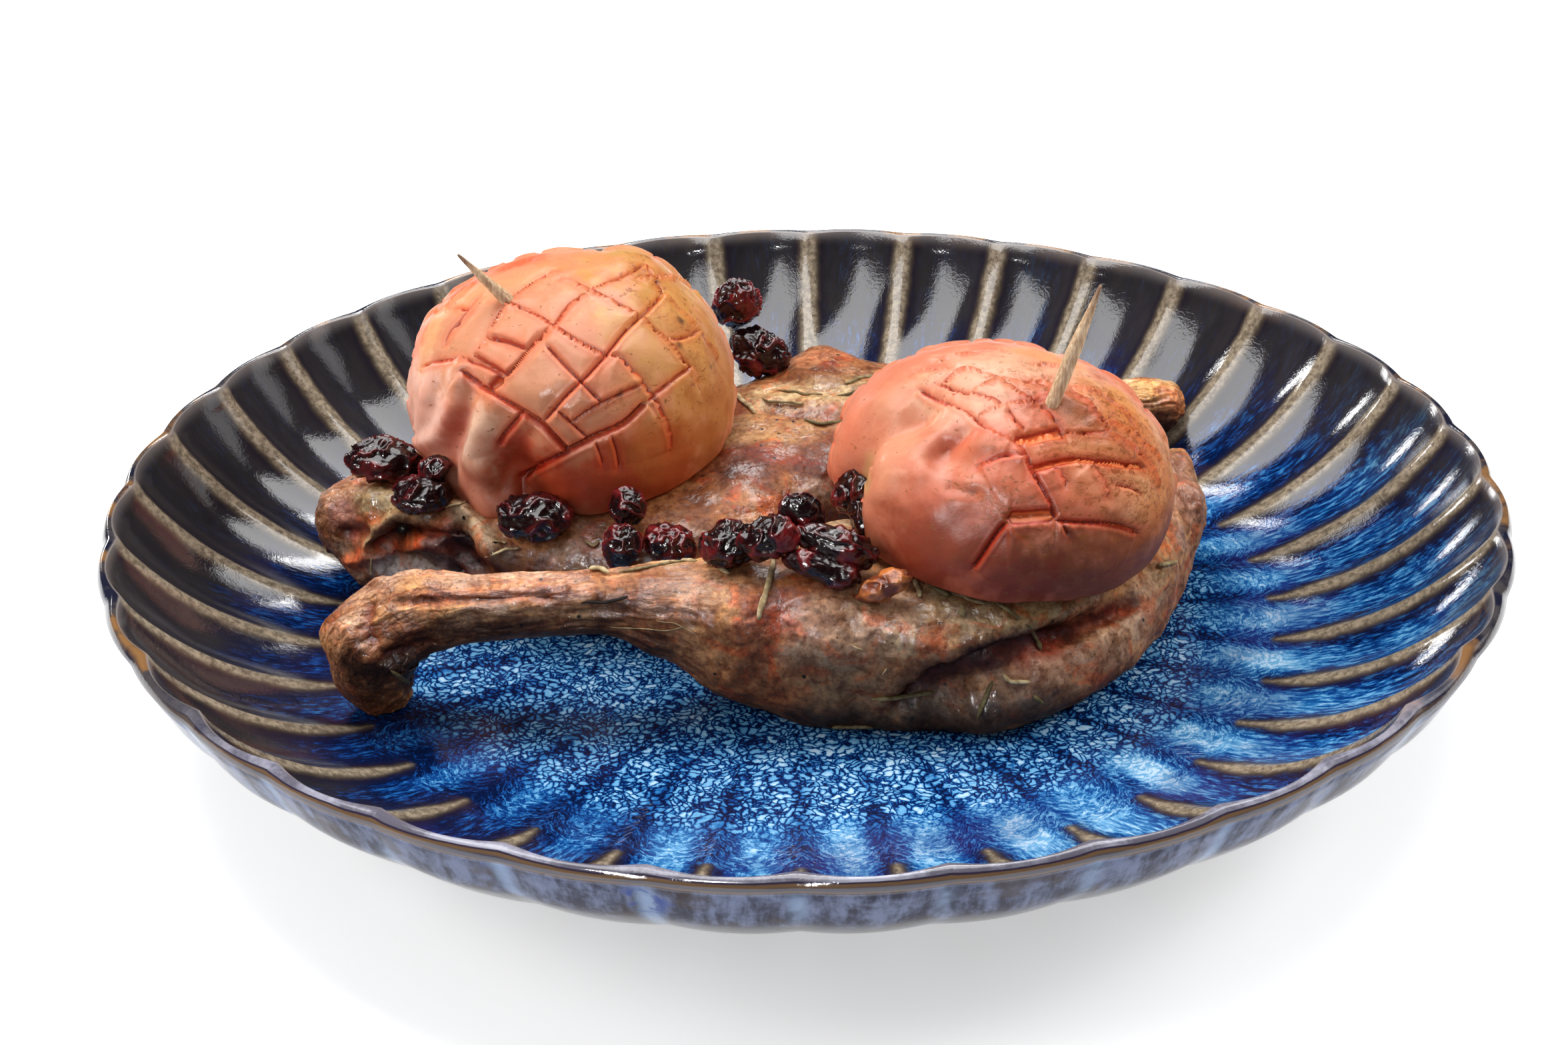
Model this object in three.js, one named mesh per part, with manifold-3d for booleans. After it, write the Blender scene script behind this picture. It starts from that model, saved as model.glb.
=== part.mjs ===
// Two roast duck legs on a fluted stoneware plate, each under a scored baked fruit half
// that a wooden pick holds, with dried cranberries and rosemary needles.
// Millimetres, +Z up. The origin is the middle of the plate's foot, on the table.
import * as THREE from "three";
import { mergeVertices } from "three/addons/utils/BufferGeometryUtils.js";
import Module from "manifold-3d";

const wasm = await Module();
wasm.setup();

// Gap kept between pieces that touch.
const GAP = 0.35;

// Plate: the ridges between its petals run from the well up to the lip.
const PETALS = 36;
const STEPS_PER_PETAL = 4;
const PLATE_TURN_DEG = -1.3;
const RIM_RADIUS = 130;
const RIM_HEIGHT = 38;
const WELL_RADIUS = 90;
const WELL_HEIGHT = 11;
const WELL_DISH = 1.2;
const WALL_RISE_POWER = 1.6;
const WALL_ROUND_POWER = 0.8;
const FLUTE_DEPTH = 3.1;
const FLUTE_FULL_SHARE = 0.8; // share of the wall by which a flute has its full depth
const LIP_BULGE = 1.9;
const OUTER_BULGE = 0.6;
const LIP_THICKNESS = 3.2;
const LIP_CROWN = 0.5;
const LIP_DROP = 1.3;
const WALL_THICKNESS = 4.8;
const INNER_WALL_RADII = [95, 103, 112, 120, 126.5, RIM_RADIUS];
const OUTER_WALL_RADII = [126, 113, 99];
const FOOT_OUTER_RADIUS = 80;
const FOOT_INNER_RADIUS = 73;
const FOOT_HEIGHT = 4.6;
const FOOT_SLOPE = 3;

// Legs: a power under 1 makes their oval sections squarer.
const SECTION_SQUARENESS = 0.8;

// Fruit halves: the widest ring lies this share of the height above the flat side,
// corners stand out by a share of the radius, and knife planes turn about an axis below.
const SEAT_SHARE = 0.2;
const CORNER_SHARE = 0.14;
const CUT_AXIS_DEPTH = 0.35;
const CUT_WIDTH = 0.9;
const CUT_DEPTH = 1.7;

// Wooden picks and rosemary needles.
const PICK_RADIUS = 1.35;
const PICK_TIP_RADIUS = 0.35;
const PICK_TAPER = 13;
const NEEDLE_RADIUS = 0.65;

// Depth of the folds in a dried berry's skin, as a share of its size.
const FOLD_SHARE = 0.09;

const COLOURS = {
  glaze: 0x17346f,
  duck: 0x8a5a3a,
  baked: 0xd9744f,
  wood: 0xc9a06a,
  cranberry: 0x3a0b12,
  driedFruit: 0xa5501f,
};

const material = (colour, roughness) =>
  new THREE.MeshStandardMaterial({ color: colour, roughness, metalness: 0 });

const clamp01 = (v) => Math.min(1, Math.max(0, v));
const smooth = (v) => clamp01(v) ** 2 * (3 - 2 * clamp01(v));
const radians = THREE.MathUtils.degToRad;

// Solids and geometries
function solidOf(geometry) {
  const bare = geometry.clone();
  bare.deleteAttribute("normal");
  bare.deleteAttribute("uv");
  const merged = mergeVertices(bare, 1e-4);
  return new wasm.Manifold(
    new wasm.Mesh({
      numProp: 3,
      vertProperties: merged.attributes.position.array,
      triVerts: new Uint32Array(merged.index.array),
    }),
  );
}

function geometryOf(solid) {
  const mesh = solid.getMesh();
  const geometry = new THREE.BufferGeometry();
  geometry.setAttribute("position", new THREE.BufferAttribute(mesh.vertProperties, 3));
  geometry.setIndex(new THREE.BufferAttribute(mesh.triVerts, 1));
  geometry.computeVertexNormals();
  return geometry;
}

// The largest body of a solid, so that a loose scrap of a cut is dropped.
function mainBody(solid) {
  const bodies = solid.decompose();
  return bodies.reduce((a, b) => (a.volume() > b.volume() ? a : b));
}

// A closed surface through rings of points, each ring running the same way round.
// Neighbouring rings may differ in count where one is a multiple of the other.
function skin(rings) {
  const points = rings.flat();
  const starts = [];
  let total = 0;
  for (const ring of rings) {
    starts.push(total);
    total += ring.length;
  }
  const faces = [];
  for (let k = 0; k + 1 < rings.length; k++) {
    const [a, b] = [rings[k].length, rings[k + 1].length];
    const [fine, coarse] = [Math.max(a, b), Math.min(a, b)];
    const ratio = fine / coarse;
    const fineIsFirst = a >= b;
    for (let i = 0; i < fine; i++) {
      const next = (i + 1) % fine;
      const here = Math.floor((i + ratio / 2) / ratio) % coarse;
      const there = Math.floor((i + 1 + ratio / 2) / ratio) % coarse;
      const f = starts[fineIsFirst ? k : k + 1];
      const c = starts[fineIsFirst ? k + 1 : k];
      const corner = [f + i, f + next, c + here];
      faces.push(fineIsFirst ? corner : corner.toReversed());
      if (coarse > 1 && here !== there) {
        const far = [f + next, c + there, c + here];
        faces.push(fineIsFirst ? far : far.toReversed());
      }
    }
  }
  const geometry = new THREE.BufferGeometry().setFromPoints(points);
  geometry.setIndex(faces.flat());
  return geometry;
}

// Plate
function wellZ(r) {
  return WELL_HEIGHT - WELL_DISH * (1 - Math.min(1, r / WELL_RADIUS) ** 2);
}

function ridgeZ(r) {
  const t = clamp01((r - WELL_RADIUS) / (RIM_RADIUS - WELL_RADIUS));
  const rise = 1 - (1 - t ** WALL_RISE_POWER) ** WALL_ROUND_POWER;
  return wellZ(r) + (RIM_HEIGHT - WELL_HEIGHT) * rise;
}

// Which way the inner surface faces away from the food at a radius: out and down.
function wallOutward(r) {
  const step = 0.2;
  const slope = (ridgeZ(Math.min(r, RIM_RADIUS - step)) - ridgeZ(r - step)) / step;
  const tilt = r > RIM_RADIUS - 1 ? Math.PI / 2 : Math.atan(Math.max(slope, 0));
  return { out: Math.sin(tilt), down: Math.cos(tilt) };
}

// Depth of a petal's middle below the ridges beside it.
function fluteDepth(r) {
  const t = clamp01((r - WELL_RADIUS) / (RIM_RADIUS - WELL_RADIUS));
  const depth = FLUTE_DEPTH * smooth(t / FLUTE_FULL_SHARE);
  return THREE.MathUtils.lerp(depth, LIP_BULGE, smooth((t - 0.6) / 0.4));
}

// Share of the flute depth at an angle: none on a ridge, all of it in a petal's middle.
function petal(angle) {
  const u = (angle * PETALS) / (2 * Math.PI);
  const across = u - Math.floor(u);
  return 4 * across * (1 - across);
}

// A ring of the inner surface, or of the outer one where it has a thickness.
function plateRing({ radius, count, thickness = 0, bulge = fluteDepth(radius), lift = 0 }) {
  const { out, down } = wallOutward(radius);
  return Array.from({ length: count }, (_, i) => {
    const angle = (2 * Math.PI * i) / count;
    const push = thickness + bulge * petal(angle);
    const r = radius + out * push;
    const turned = angle + radians(PLATE_TURN_DEG);
    const z = ridgeZ(radius) + lift - down * push;
    return new THREE.Vector3(r * Math.cos(turned), r * Math.sin(turned), z);
  });
}

function flatRing(radius, z, count) {
  return Array.from({ length: count }, (_, i) => {
    const angle = (2 * Math.PI * i) / count + radians(PLATE_TURN_DEG);
    return new THREE.Vector3(radius * Math.cos(angle), radius * Math.sin(angle), z);
  });
}

function plate() {
  const fine = PETALS * STEPS_PER_PETAL;
  const coarse = PETALS * 2;
  const rings = [
    [new THREE.Vector3(0, 0, wellZ(0))],
    flatRing(WELL_RADIUS / 2, wellZ(WELL_RADIUS / 2), PETALS),
    flatRing(WELL_RADIUS, wellZ(WELL_RADIUS), PETALS),
  ];
  for (const radius of INNER_WALL_RADII) {
    rings.push(plateRing({ radius, count: fine }));
  }
  const lip = { radius: RIM_RADIUS, count: fine };
  const lipMiddle = (LIP_BULGE + OUTER_BULGE) / 2;
  rings.push(
    plateRing({ ...lip, lift: LIP_CROWN, thickness: LIP_THICKNESS / 2, bulge: lipMiddle }),
    plateRing({ ...lip, lift: -LIP_DROP, thickness: LIP_THICKNESS, bulge: OUTER_BULGE }),
  );
  for (const radius of OUTER_WALL_RADII) {
    const outer = { radius, count: coarse, thickness: WALL_THICKNESS, bulge: OUTER_BULGE };
    rings.push(plateRing(outer));
  }
  rings.push(
    flatRing(FOOT_OUTER_RADIUS + FOOT_SLOPE, FOOT_HEIGHT, coarse),
    flatRing(FOOT_OUTER_RADIUS, 0, coarse),
    flatRing(FOOT_INNER_RADIUS, 0, coarse),
    flatRing(FOOT_INNER_RADIUS - FOOT_SLOPE, FOOT_HEIGHT, coarse),
    [new THREE.Vector3(0, 0, FOOT_HEIGHT)],
  );
  return skin(rings.toReversed());
}

// Lowest height at which something may lie over a point of the plate.
function restZ(x, y) {
  return ridgeZ(Math.min(Math.hypot(x, y), RIM_RADIUS)) + GAP;
}

// Bumps and creases: each moves a surface point along its outward direction.
function distanceToPath(point, path) {
  const nearest = new THREE.Vector3();
  let best = Infinity;
  for (let i = 0; i + 1 < path.length; i++) {
    new THREE.Line3(path[i], path[i + 1]).closestPointToPoint(point, true, nearest);
    best = Math.min(best, nearest.distanceTo(point));
  }
  return best;
}

function relief(point, forms) {
  let lift = 0;
  for (const { path, width, height } of forms) {
    const far = path.length > 1 ? distanceToPath(point, path) : path[0].distanceTo(point);
    lift += height * Math.exp(-((far / width) ** 2));
  }
  return lift;
}

const form = (height, width, ...places) => ({
  height,
  width,
  path: places.map((p) => new THREE.Vector3(...p)),
});

// A leg: oval sections along a bent spine, each section wide along Y, resting on the plate.
// Each station is a place on the spine, then the half width, the height above and the depth below.
function leg({ stations, forms, rings, sides }, swell = 0) {
  const curve = new THREE.CatmullRomCurve3(
    stations.map(([x, y, z]) => new THREE.Vector3(x, y, z)),
    false,
    "centripetal",
  );
  const sizes = stations.map((s) => s.slice(3));
  const sizeAt = (t, k) => {
    const at = t * (sizes.length - 1);
    const i = Math.min(Math.floor(at), sizes.length - 2);
    return THREE.MathUtils.lerp(sizes[i][k], sizes[i + 1][k], (smooth(at - i) + at - i) / 2);
  };
  const boxy = (v) => Math.sign(v) * Math.abs(v) ** SECTION_SQUARENESS;
  const side = new THREE.Vector3(0, 1, 0);
  const made = [];
  for (let k = 0; k <= rings; k++) {
    const t = k / rings;
    const centre = curve.getPoint(t);
    const along = curve.getTangent(t);
    const up = new THREE.Vector3().crossVectors(along, side).normalize();
    if (k === 0 || k === rings) {
      made.push([centre.clone().addScaledVector(along, k ? swell : -swell)]);
      continue;
    }
    made.push(
      Array.from({ length: sides }, (_, i) => {
        const angle = (2 * Math.PI * i) / sides;
        const rise = Math.sin(angle) > 0 ? sizeAt(t, 1) : sizeAt(t, 2);
        const offset = side
          .clone()
          .multiplyScalar(sizeAt(t, 0) * boxy(Math.cos(angle)))
          .addScaledVector(up, rise * boxy(Math.sin(angle)));
        const outward = offset.clone().normalize();
        const point = centre.clone().add(offset);
        point.addScaledVector(outward, relief(point, forms) + swell);
        point.z = Math.max(point.z, restZ(point.x, point.y) - swell);
        return point;
      }),
    );
  }
  return skin(made);
}

const FRONT_LEG = {
  rings: 42,
  sides: 16,
  stations: [
    [-75, -35.5, 11.3, 2, 2, 2],
    [-77.5, -36, 14, 6, 5.5, 5.5],
    [-79.5, -37.5, 20, 8, 7.5, 7.5],
    [-78, -38, 27, 9, 8.5, 8.5],
    [-71, -37.5, 31.2, 7.6, 7.6, 8],
    [-60, -37.5, 32.3, 6, 5.6, 6.3],
    [-49, -37.5, 32.7, 5.3, 5, 5.6],
    [-37, -37, 32.5, 5.6, 5.4, 6],
    [-25, -36, 31, 8.5, 7.4, 9.5],
    [-10, -34.5, 28, 14.5, 10.5, 16.5],
    [5, -29, 26.5, 22, 12.3, 22],
    [22, -26.5, 25.5, 25.5, 12.2, 23],
    [35, -23.5, 25, 28.5, 12, 23],
    [50, -14.5, 24.5, 30, 11.5, 20],
    [60, -7, 24, 28, 11.5, 17],
    [67, -0.5, 24, 25, 11.5, 15],
    [72, 5.5, 24, 20, 10, 13],
    [76, 10, 24, 15, 8, 10],
    [79, 11, 23.5, 8, 4, 5],
  ],
  forms: [
    form(-4.5, 4.2, [24, -52, 20], [38, -51, 25], [54, -42, 30], [64, -30, 34]),
    form(2.5, 6, [32, -51, 15], [48, -46, 17], [60, -34, 19]),
    form(3, 5, [77, 3, 31]),
    form(3, 5, [77, 20, 31]),
    form(-3, 4, [80, 11, 28]),
    form(2, 4, [-86, -40, 29]),
    form(1.5, 5, [-79, -45, 30]),
  ],
};

const BACK_LEG = {
  rings: 38,
  sides: 14,
  stations: [
    [-96, 13, 21, 4, 3, 3],
    [-92, 13, 22.5, 9, 9, 9],
    [-83, 13, 23.5, 15, 12, 14],
    [-69, 14, 23.5, 21, 12.5, 17],
    [-49, 14, 23.5, 28, 12.5, 18],
    [-27, 17.5, 24, 34, 12.5, 18],
    [-7, 27.5, 24.5, 35, 14, 18],
    [11, 38, 25, 28.5, 14, 18],
    [27, 49, 24.5, 18, 11, 15],
    [40, 56, 23.5, 9.5, 8, 9],
    [54, 61, 22, 6, 6, 6],
    [66, 64.5, 21.3, 5.8, 5.8, 5.8],
    [74.5, 66.3, 21.3, 6.8, 6.4, 6],
    [81, 67.2, 21, 6, 5.5, 5.5],
    [84, 67.5, 20.5, 2, 2, 2],
  ],
  forms: [
    form(-5, 3.6, [-80, -4, 24], [-73, -8, 22]),
    form(-3.5, 3.2, [-66, -9, 27], [-58, -12, 20]),
    form(2.2, 3.2, [-70, -6, 33], [-60, -12, 27]),
    form(2.5, 5, [-93, 8, 28]),
    form(2.5, 4, [-90, 3, 17]),
    form(7.5, 8, [3, 59, 36]),
  ],
};

// Fruit half: its own frame has the flat side at z = 0 and the crown up.
// Surface point in a direction from the middle of the widest ring.
function domePoint({ radius, height, forms }, outward, lift) {
  const seat = height * SEAT_SHARE;
  const square = 1 + CORNER_SHARE * (outward.z * Math.hypot(outward.x, outward.y)) ** 2;
  const point = new THREE.Vector3(
    radius * square * outward.x,
    radius * square * outward.y,
    seat + (height - seat) * square * outward.z,
  );
  return point.addScaledVector(outward, relief(point, forms) + lift);
}

function dome(fruit, swell = 0) {
  const rows = 8;
  const sides = 24;
  const lowest = Math.acos(-SEAT_SHARE / (1 - SEAT_SHARE));
  const direction = (polar, turn) => {
    const across = Math.sin(polar);
    return new THREE.Vector3(across * Math.cos(turn), across * Math.sin(turn), Math.cos(polar));
  };
  const rings = [[domePoint(fruit, direction(0, 0), swell)]];
  for (let k = 1; k <= rows; k++) {
    rings.push(
      Array.from({ length: sides }, (_, i) =>
        domePoint(fruit, direction((lowest * k) / rows, (2 * Math.PI * i) / sides), swell),
      ),
    );
  }
  rings.push([new THREE.Vector3(0, 0, -swell)]);
  return skin(rings.toReversed());
}

// A knife cut: a wedge along the dome in a plane that leans about a level axis below it.
// Angles are in degrees: the axis's turn, the plane's lean, and the two ends along the arc.
function wedge(fruit, { turn, lean, from, to, width = CUT_WIDTH, depth = CUT_DEPTH }) {
  const steps = 6;
  const axis = new THREE.Vector3(1, 0, 0).applyAxisAngle(new THREE.Vector3(0, 0, 1), radians(turn));
  const upright = new THREE.Vector3(0, 0, 1).applyAxisAngle(axis, -radians(lean));
  const across = new THREE.Vector3().crossVectors(axis, upright);
  const rings = [];
  for (let k = 0; k <= steps; k++) {
    const reach = radians(THREE.MathUtils.lerp(from, to, k / steps));
    const ray = upright.clone().multiplyScalar(Math.cos(reach)).addScaledVector(axis, Math.sin(reach));
    const drop = CUT_AXIS_DEPTH * ray.z;
    const far = drop + Math.sqrt(drop ** 2 + 1 - CUT_AXIS_DEPTH ** 2);
    const outward = ray.clone().multiplyScalar(far);
    outward.z -= CUT_AXIS_DEPTH;
    const over = domePoint(fruit, outward, 1);
    if (k === 0 || k === steps) {
      rings.push([over]);
      continue;
    }
    const half = (width / 2) * (1 + 1 / depth);
    rings.push([
      domePoint(fruit, outward, -depth),
      over.clone().addScaledVector(across, -half),
      over.clone().addScaledVector(across, half),
    ]);
  }
  return solidOf(skin(rings));
}

// Two families of cuts cross each other over the crown; a few have sprung open.
function scoring(fruit) {
  const cuts = fruit.families.flatMap(({ cuts, ...family }) =>
    cuts.map((cut) => wedge(fruit, { ...family, ...cut })),
  );
  return wasm.Manifold.union(cuts);
}

const LEFT_HALF = {
  radius: 32,
  height: 33.5,
  at: [-45.5, 25, 38.7],
  tilt: [8, -3, 0],
  families: [
    {
      turn: 50,
      from: -66,
      to: 58,
      cuts: [
        { lean: -46, width: 4, depth: 3, from: -54, to: 8 },
        { lean: -29 },
        { lean: -12 },
        { lean: 5 },
        { lean: 22 },
      ],
    },
    {
      turn: -42,
      from: -58,
      to: 62,
      cuts: [
        { lean: -34, width: 1.4 },
        { lean: -16 },
        { lean: 1 },
        { lean: 18 },
        { lean: 36 },
      ],
    },
  ],
  forms: [
    form(-5.5, 6, [-6, -31, 1], [-8, -30, 8]),
    form(3, 6, [-14, -29, 0]),
    form(-2, 6, [-22, -22, 14]),
    form(1.5, 9, [-24, 0, 26]),
    form(1.5, 9, [16, 14, 28]),
  ],
};

const RIGHT_HALF = {
  radius: 31.5,
  height: 26.5,
  at: [36.3, -14.5, 39.8],
  tilt: [7, 7, 0],
  families: [
    {
      turn: -5,
      from: -30,
      to: 68,
      cuts: [
        { lean: -66, width: 3, depth: 2.6, from: -8, to: 60 },
        { lean: -43, width: 1.4 },
        { lean: -26, width: 3, depth: 2.6 },
        { lean: -9 },
        { lean: 9 },
        { lean: 28 },
      ],
    },
    {
      turn: -62,
      from: -55,
      to: 50,
      cuts: [{ lean: -32 }, { lean: -14 }, { lean: 4 }, { lean: 22 }, { lean: 42 }],
    },
  ],
  forms: [
    form(-6, 6, [-30, -8, 2], [-26, -7, 14], [-20, -5, 22]),
    form(-2.5, 5, [-14, -20, 20]),
    form(-1.5, 5, [-8, -26, 14]),
  ],
};

function placement({ at, tilt }) {
  const turn = new THREE.Euler(...tilt.map(radians));
  return new THREE.Matrix4().compose(
    new THREE.Vector3(...at),
    new THREE.Quaternion().setFromEuler(turn),
    new THREE.Vector3(1, 1, 1),
  );
}

// A round wooden pick from its sharp tip down to its hidden end.
function pick({ tip, end, swell = 0 }) {
  const from = new THREE.Vector3(...tip);
  const to = new THREE.Vector3(...end);
  const length = from.distanceTo(to);
  const profile = [
    [0, -length - swell],
    [PICK_RADIUS + swell, -length - swell],
    [PICK_RADIUS + swell, -PICK_TAPER],
    [PICK_TIP_RADIUS + swell, 0],
    [0, swell],
  ].map(([r, z]) => new THREE.Vector2(r, z));
  const geometry = new THREE.LatheGeometry(profile, 10);
  const axis = from.clone().sub(to).normalize();
  const stand = new THREE.Quaternion().setFromUnitVectors(new THREE.Vector3(0, 1, 0), axis);
  geometry.applyQuaternion(stand);
  return geometry.translate(from.x, from.y, from.z);
}

const LEFT_PICK = { tip: [-65.5, 15, 80], end: [-49, 17, 61] };
const RIGHT_PICK = { tip: [53.2, -20, 86], end: [39.5, -25, 50] };

// A dried berry: an egg with folds, by size, place and turn.
function berry({ at, size, turn, swell = 0 }, index) {
  const geometry = new THREE.SphereGeometry(1, 8, 6);
  const position = geometry.attributes.position;
  const half = new THREE.Vector3(...size).addScalar(swell);
  const point = new THREE.Vector3();
  for (let i = 0; i < position.count; i++) {
    point.fromBufferAttribute(position, i);
    const around = Math.cos(3 * Math.atan2(point.y, point.x) + index);
    const fold = around * Math.sin(4 * point.z + 1.7 * index);
    point.multiplyScalar(1 + FOLD_SHARE * fold);
    point.multiply(half);
    position.setXYZ(i, point.x, point.y, point.z);
  }
  geometry.applyMatrix4(placement({ at, tilt: turn }));
  return geometry;
}

// Half sizes along the berry, across it and up.
const BERRIES = {
  cranberry_back_high: { at: [-13, 57.4, 51], size: [5, 4.6, 5.6], turn: [20, 10, 0] },
  cranberry_back_low: { at: [-8.3, 53.9, 41], size: [6.6, 5, 5.4], turn: [0, 25, -10] },
  cranberry_left_high: { at: [-82, 9, 39.5], size: [8, 5.2, 4.6], turn: [0, 10, 10] },
  cranberry_left_low: { at: [-74, -1, 36.5], size: [5.8, 4.6, 3.8], turn: [0, 5, 20] },
  cranberry_left_small: { at: [-71.5, 2.6, 40.5], size: [3.8, 3.4, 3], turn: [0, -30, 0] },
  cranberry_under_left: { at: [-52, -9.4, 36], size: [7.6, 4.6, 4.4], turn: [0, 0, -6] },
  cranberry_mid_high: { at: [-33.8, -10, 38], size: [4.2, 4, 3.8], turn: [0, 40, 0] },
  cranberry_mid_low: { at: [-34.4, -17.5, 33.5], size: [4, 4.2, 4.8], turn: [0, 10, 30] },
  cranberry_mid_right: { at: [-26, -15.5, 32.8], size: [5.2, 4.4, 4], turn: [0, 20, 0] },
  cranberry_row_1: { at: [-14, -35.5, 43], size: [5.6, 4.6, 4.6], turn: [0, -12, 12] },
  cranberry_row_2: { at: [-7, -38.3, 45.6], size: [5.8, 4.2, 4], turn: [0, -8, 0] },
  cranberry_row_top: { at: [-1, -33, 48], size: [4.6, 3, 4], turn: [0, 40, 0] },
  cranberry_row_3: { at: [5.5, -38, 44], size: [8.4, 4.2, 3.6], turn: [0, 22, -4] },
  cranberry_row_4: { at: [3, -42, 41.3], size: [7.6, 3.2, 2.8], turn: [0, 16, -6] },
  cranberry_stem_high: { at: [9.5, -21.5, 46], size: [4.4, 4, 4.4], turn: [0, 0, 0] },
  cranberry_stem_low: { at: [10.8, -28, 43], size: [2.6, 4, 5], turn: [0, -25, 0] },
};

const FRUIT_PIECE = { at: [13.5, -44.5, 39], size: [5.4, 2.6, 2.4], turn: [20, -28, 6] };

// Rosemary needles fused to a leg: their ends are plan places (x, y) that drop onto it
// from above, or front places (x, z) that meet it from the front.
const FRONT_NEEDLES = {
  fromAbove: [
    [[-7, -42], [-9.2, -47.5]],
    [[-24.5, -32.5], [-22, -36]],
    [[-21.5, -35.5], [-19.8, -39.5]],
    [[19.2, -38.5], [20.2, -42.5]],
    [[22.5, -40], [30.5, -44]],
    [[31, -42.3], [38, -46]],
  ],
  fromFront: [
    [[39.1, 30.5], [41.8, 25.6]],
    [[11.5, 19.2], [21.7, 20.4]],
    [[4.5, 13], [11, 12.2]],
    [[33.2, 22.4], [30.6, 16.6]],
    [[34.9, 22.5], [39.9, 20.4]],
    [[-76, 24.5], [-73.6, 20]],
    [[66.5, 30], [69.5, 28]],
  ],
};

const BACK_NEEDLES = {
  fromAbove: [
    [[-11.5, 41], [-8.5, 33]],
    [[1.2, 25.5], [9.3, 24.5]],
    [[-2, 42], [5.3, 39]],
    [[8, 44], [16, 49.5]],
  ],
  fromFront: [[[-42, 29], [-38.6, 26.6]]],
};

function skinPoint(mesh, [across, other], fromFront) {
  const away = 150;
  const origin = fromFront
    ? new THREE.Vector3(across, -away, other)
    : new THREE.Vector3(across, other, away);
  const direction = fromFront ? new THREE.Vector3(0, 1, 0) : new THREE.Vector3(0, 0, -1);
  const { point, face } = new THREE.Raycaster(origin, direction).intersectObject(mesh)[0];
  return point.addScaledVector(face.normal, NEEDLE_RADIUS * 0.4);
}

function needle(mesh, [from, to], fromFront) {
  const middle = [(from[0] + to[0]) / 2, (from[1] + to[1]) / 2];
  const places = [from, middle, to].map((place) => skinPoint(mesh, place, fromFront));
  const section = new THREE.Shape([
    new THREE.Vector2(NEEDLE_RADIUS, 0),
    new THREE.Vector2(0, NEEDLE_RADIUS),
    new THREE.Vector2(-NEEDLE_RADIUS, 0),
    new THREE.Vector2(0, -NEEDLE_RADIUS),
  ]);
  const path = new THREE.CatmullRomCurve3(places);
  return solidOf(new THREE.ExtrudeGeometry(section, { steps: 2, extrudePath: path }));
}

function withNeedles(solid, { fromAbove, fromFront }) {
  const mesh = new THREE.Mesh(geometryOf(solid));
  const needles = [
    ...fromAbove.map((ends) => needle(mesh, ends, false)),
    ...fromFront.map((ends) => needle(mesh, ends, true)),
  ];
  return wasm.Manifold.union([solid, ...needles]);
}

function dish() {
  const group = new THREE.Group();
  const add = (name, geometry, look) => {
    const mesh = new THREE.Mesh(geometry, look);
    mesh.name = name;
    group.add(mesh);
  };
  const fleshLook = material(COLOURS.duck, 0.45);
  const bakedLook = material(COLOURS.baked, 0.4);
  const woodLook = material(COLOURS.wood, 0.7);
  const berryLook = material(COLOURS.cranberry, 0.25);
  const pieceLook = material(COLOURS.driedFruit, 0.5);

  const frontLeg = solidOf(leg(FRONT_LEG));
  const frontRoom = solidOf(leg(FRONT_LEG, GAP));
  const backLeg = solidOf(leg(BACK_LEG)).subtract(frontRoom);
  const backRoom = solidOf(leg(BACK_LEG, GAP));

  add("plate", plate(), material(COLOURS.glaze, 0.15));
  add("duck_leg_front", geometryOf(withNeedles(mainBody(frontLeg), FRONT_NEEDLES)), fleshLook);
  add("duck_leg_back", geometryOf(withNeedles(mainBody(backLeg), BACK_NEEDLES)), fleshLook);

  const taken = [frontRoom, backRoom];
  for (const [name, fruit, stick] of [
    ["left", LEFT_HALF, LEFT_PICK],
    ["right", RIGHT_HALF, RIGHT_PICK],
  ]) {
    const place = placement(fruit).toArray();
    const solid = solidOf(dome(fruit)).subtract(scoring(fruit)).transform(place);
    const room = solidOf(pick({ ...stick, swell: GAP }));
    const fitted = solid.subtract(wasm.Manifold.union([frontRoom, backRoom, room]));
    add("fruit_half_" + name, geometryOf(mainBody(fitted)), bakedLook);
    taken.push(solidOf(dome(fruit, GAP)).transform(place));
    add("pick_" + name, pick(stick), woodLook);
  }

  const dried = { ...BERRIES, fruit_piece: FRUIT_PIECE };
  Object.entries(dried).forEach(([name, fruit], index) => {
    const solid = solidOf(berry(fruit, index + 1)).subtract(wasm.Manifold.union(taken));
    add(name, geometryOf(mainBody(solid)), name in BERRIES ? berryLook : pieceLook);
    taken.push(solidOf(berry({ ...fruit, swell: GAP }, index + 1)));
  });
  return group;
}

export default dish();
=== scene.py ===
"""Roast duck legs on a fluted glazed plate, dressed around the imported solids.

Lengths are millimetres in the frame of the solids: +Z up, origin under the plate's middle.
Pixels are those of the 2352 x 1568 photograph, in rows x, y, x, y, ... where a table has them.
"""
import math

import bpy
import numpy as np
from mathutils import Matrix


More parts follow.
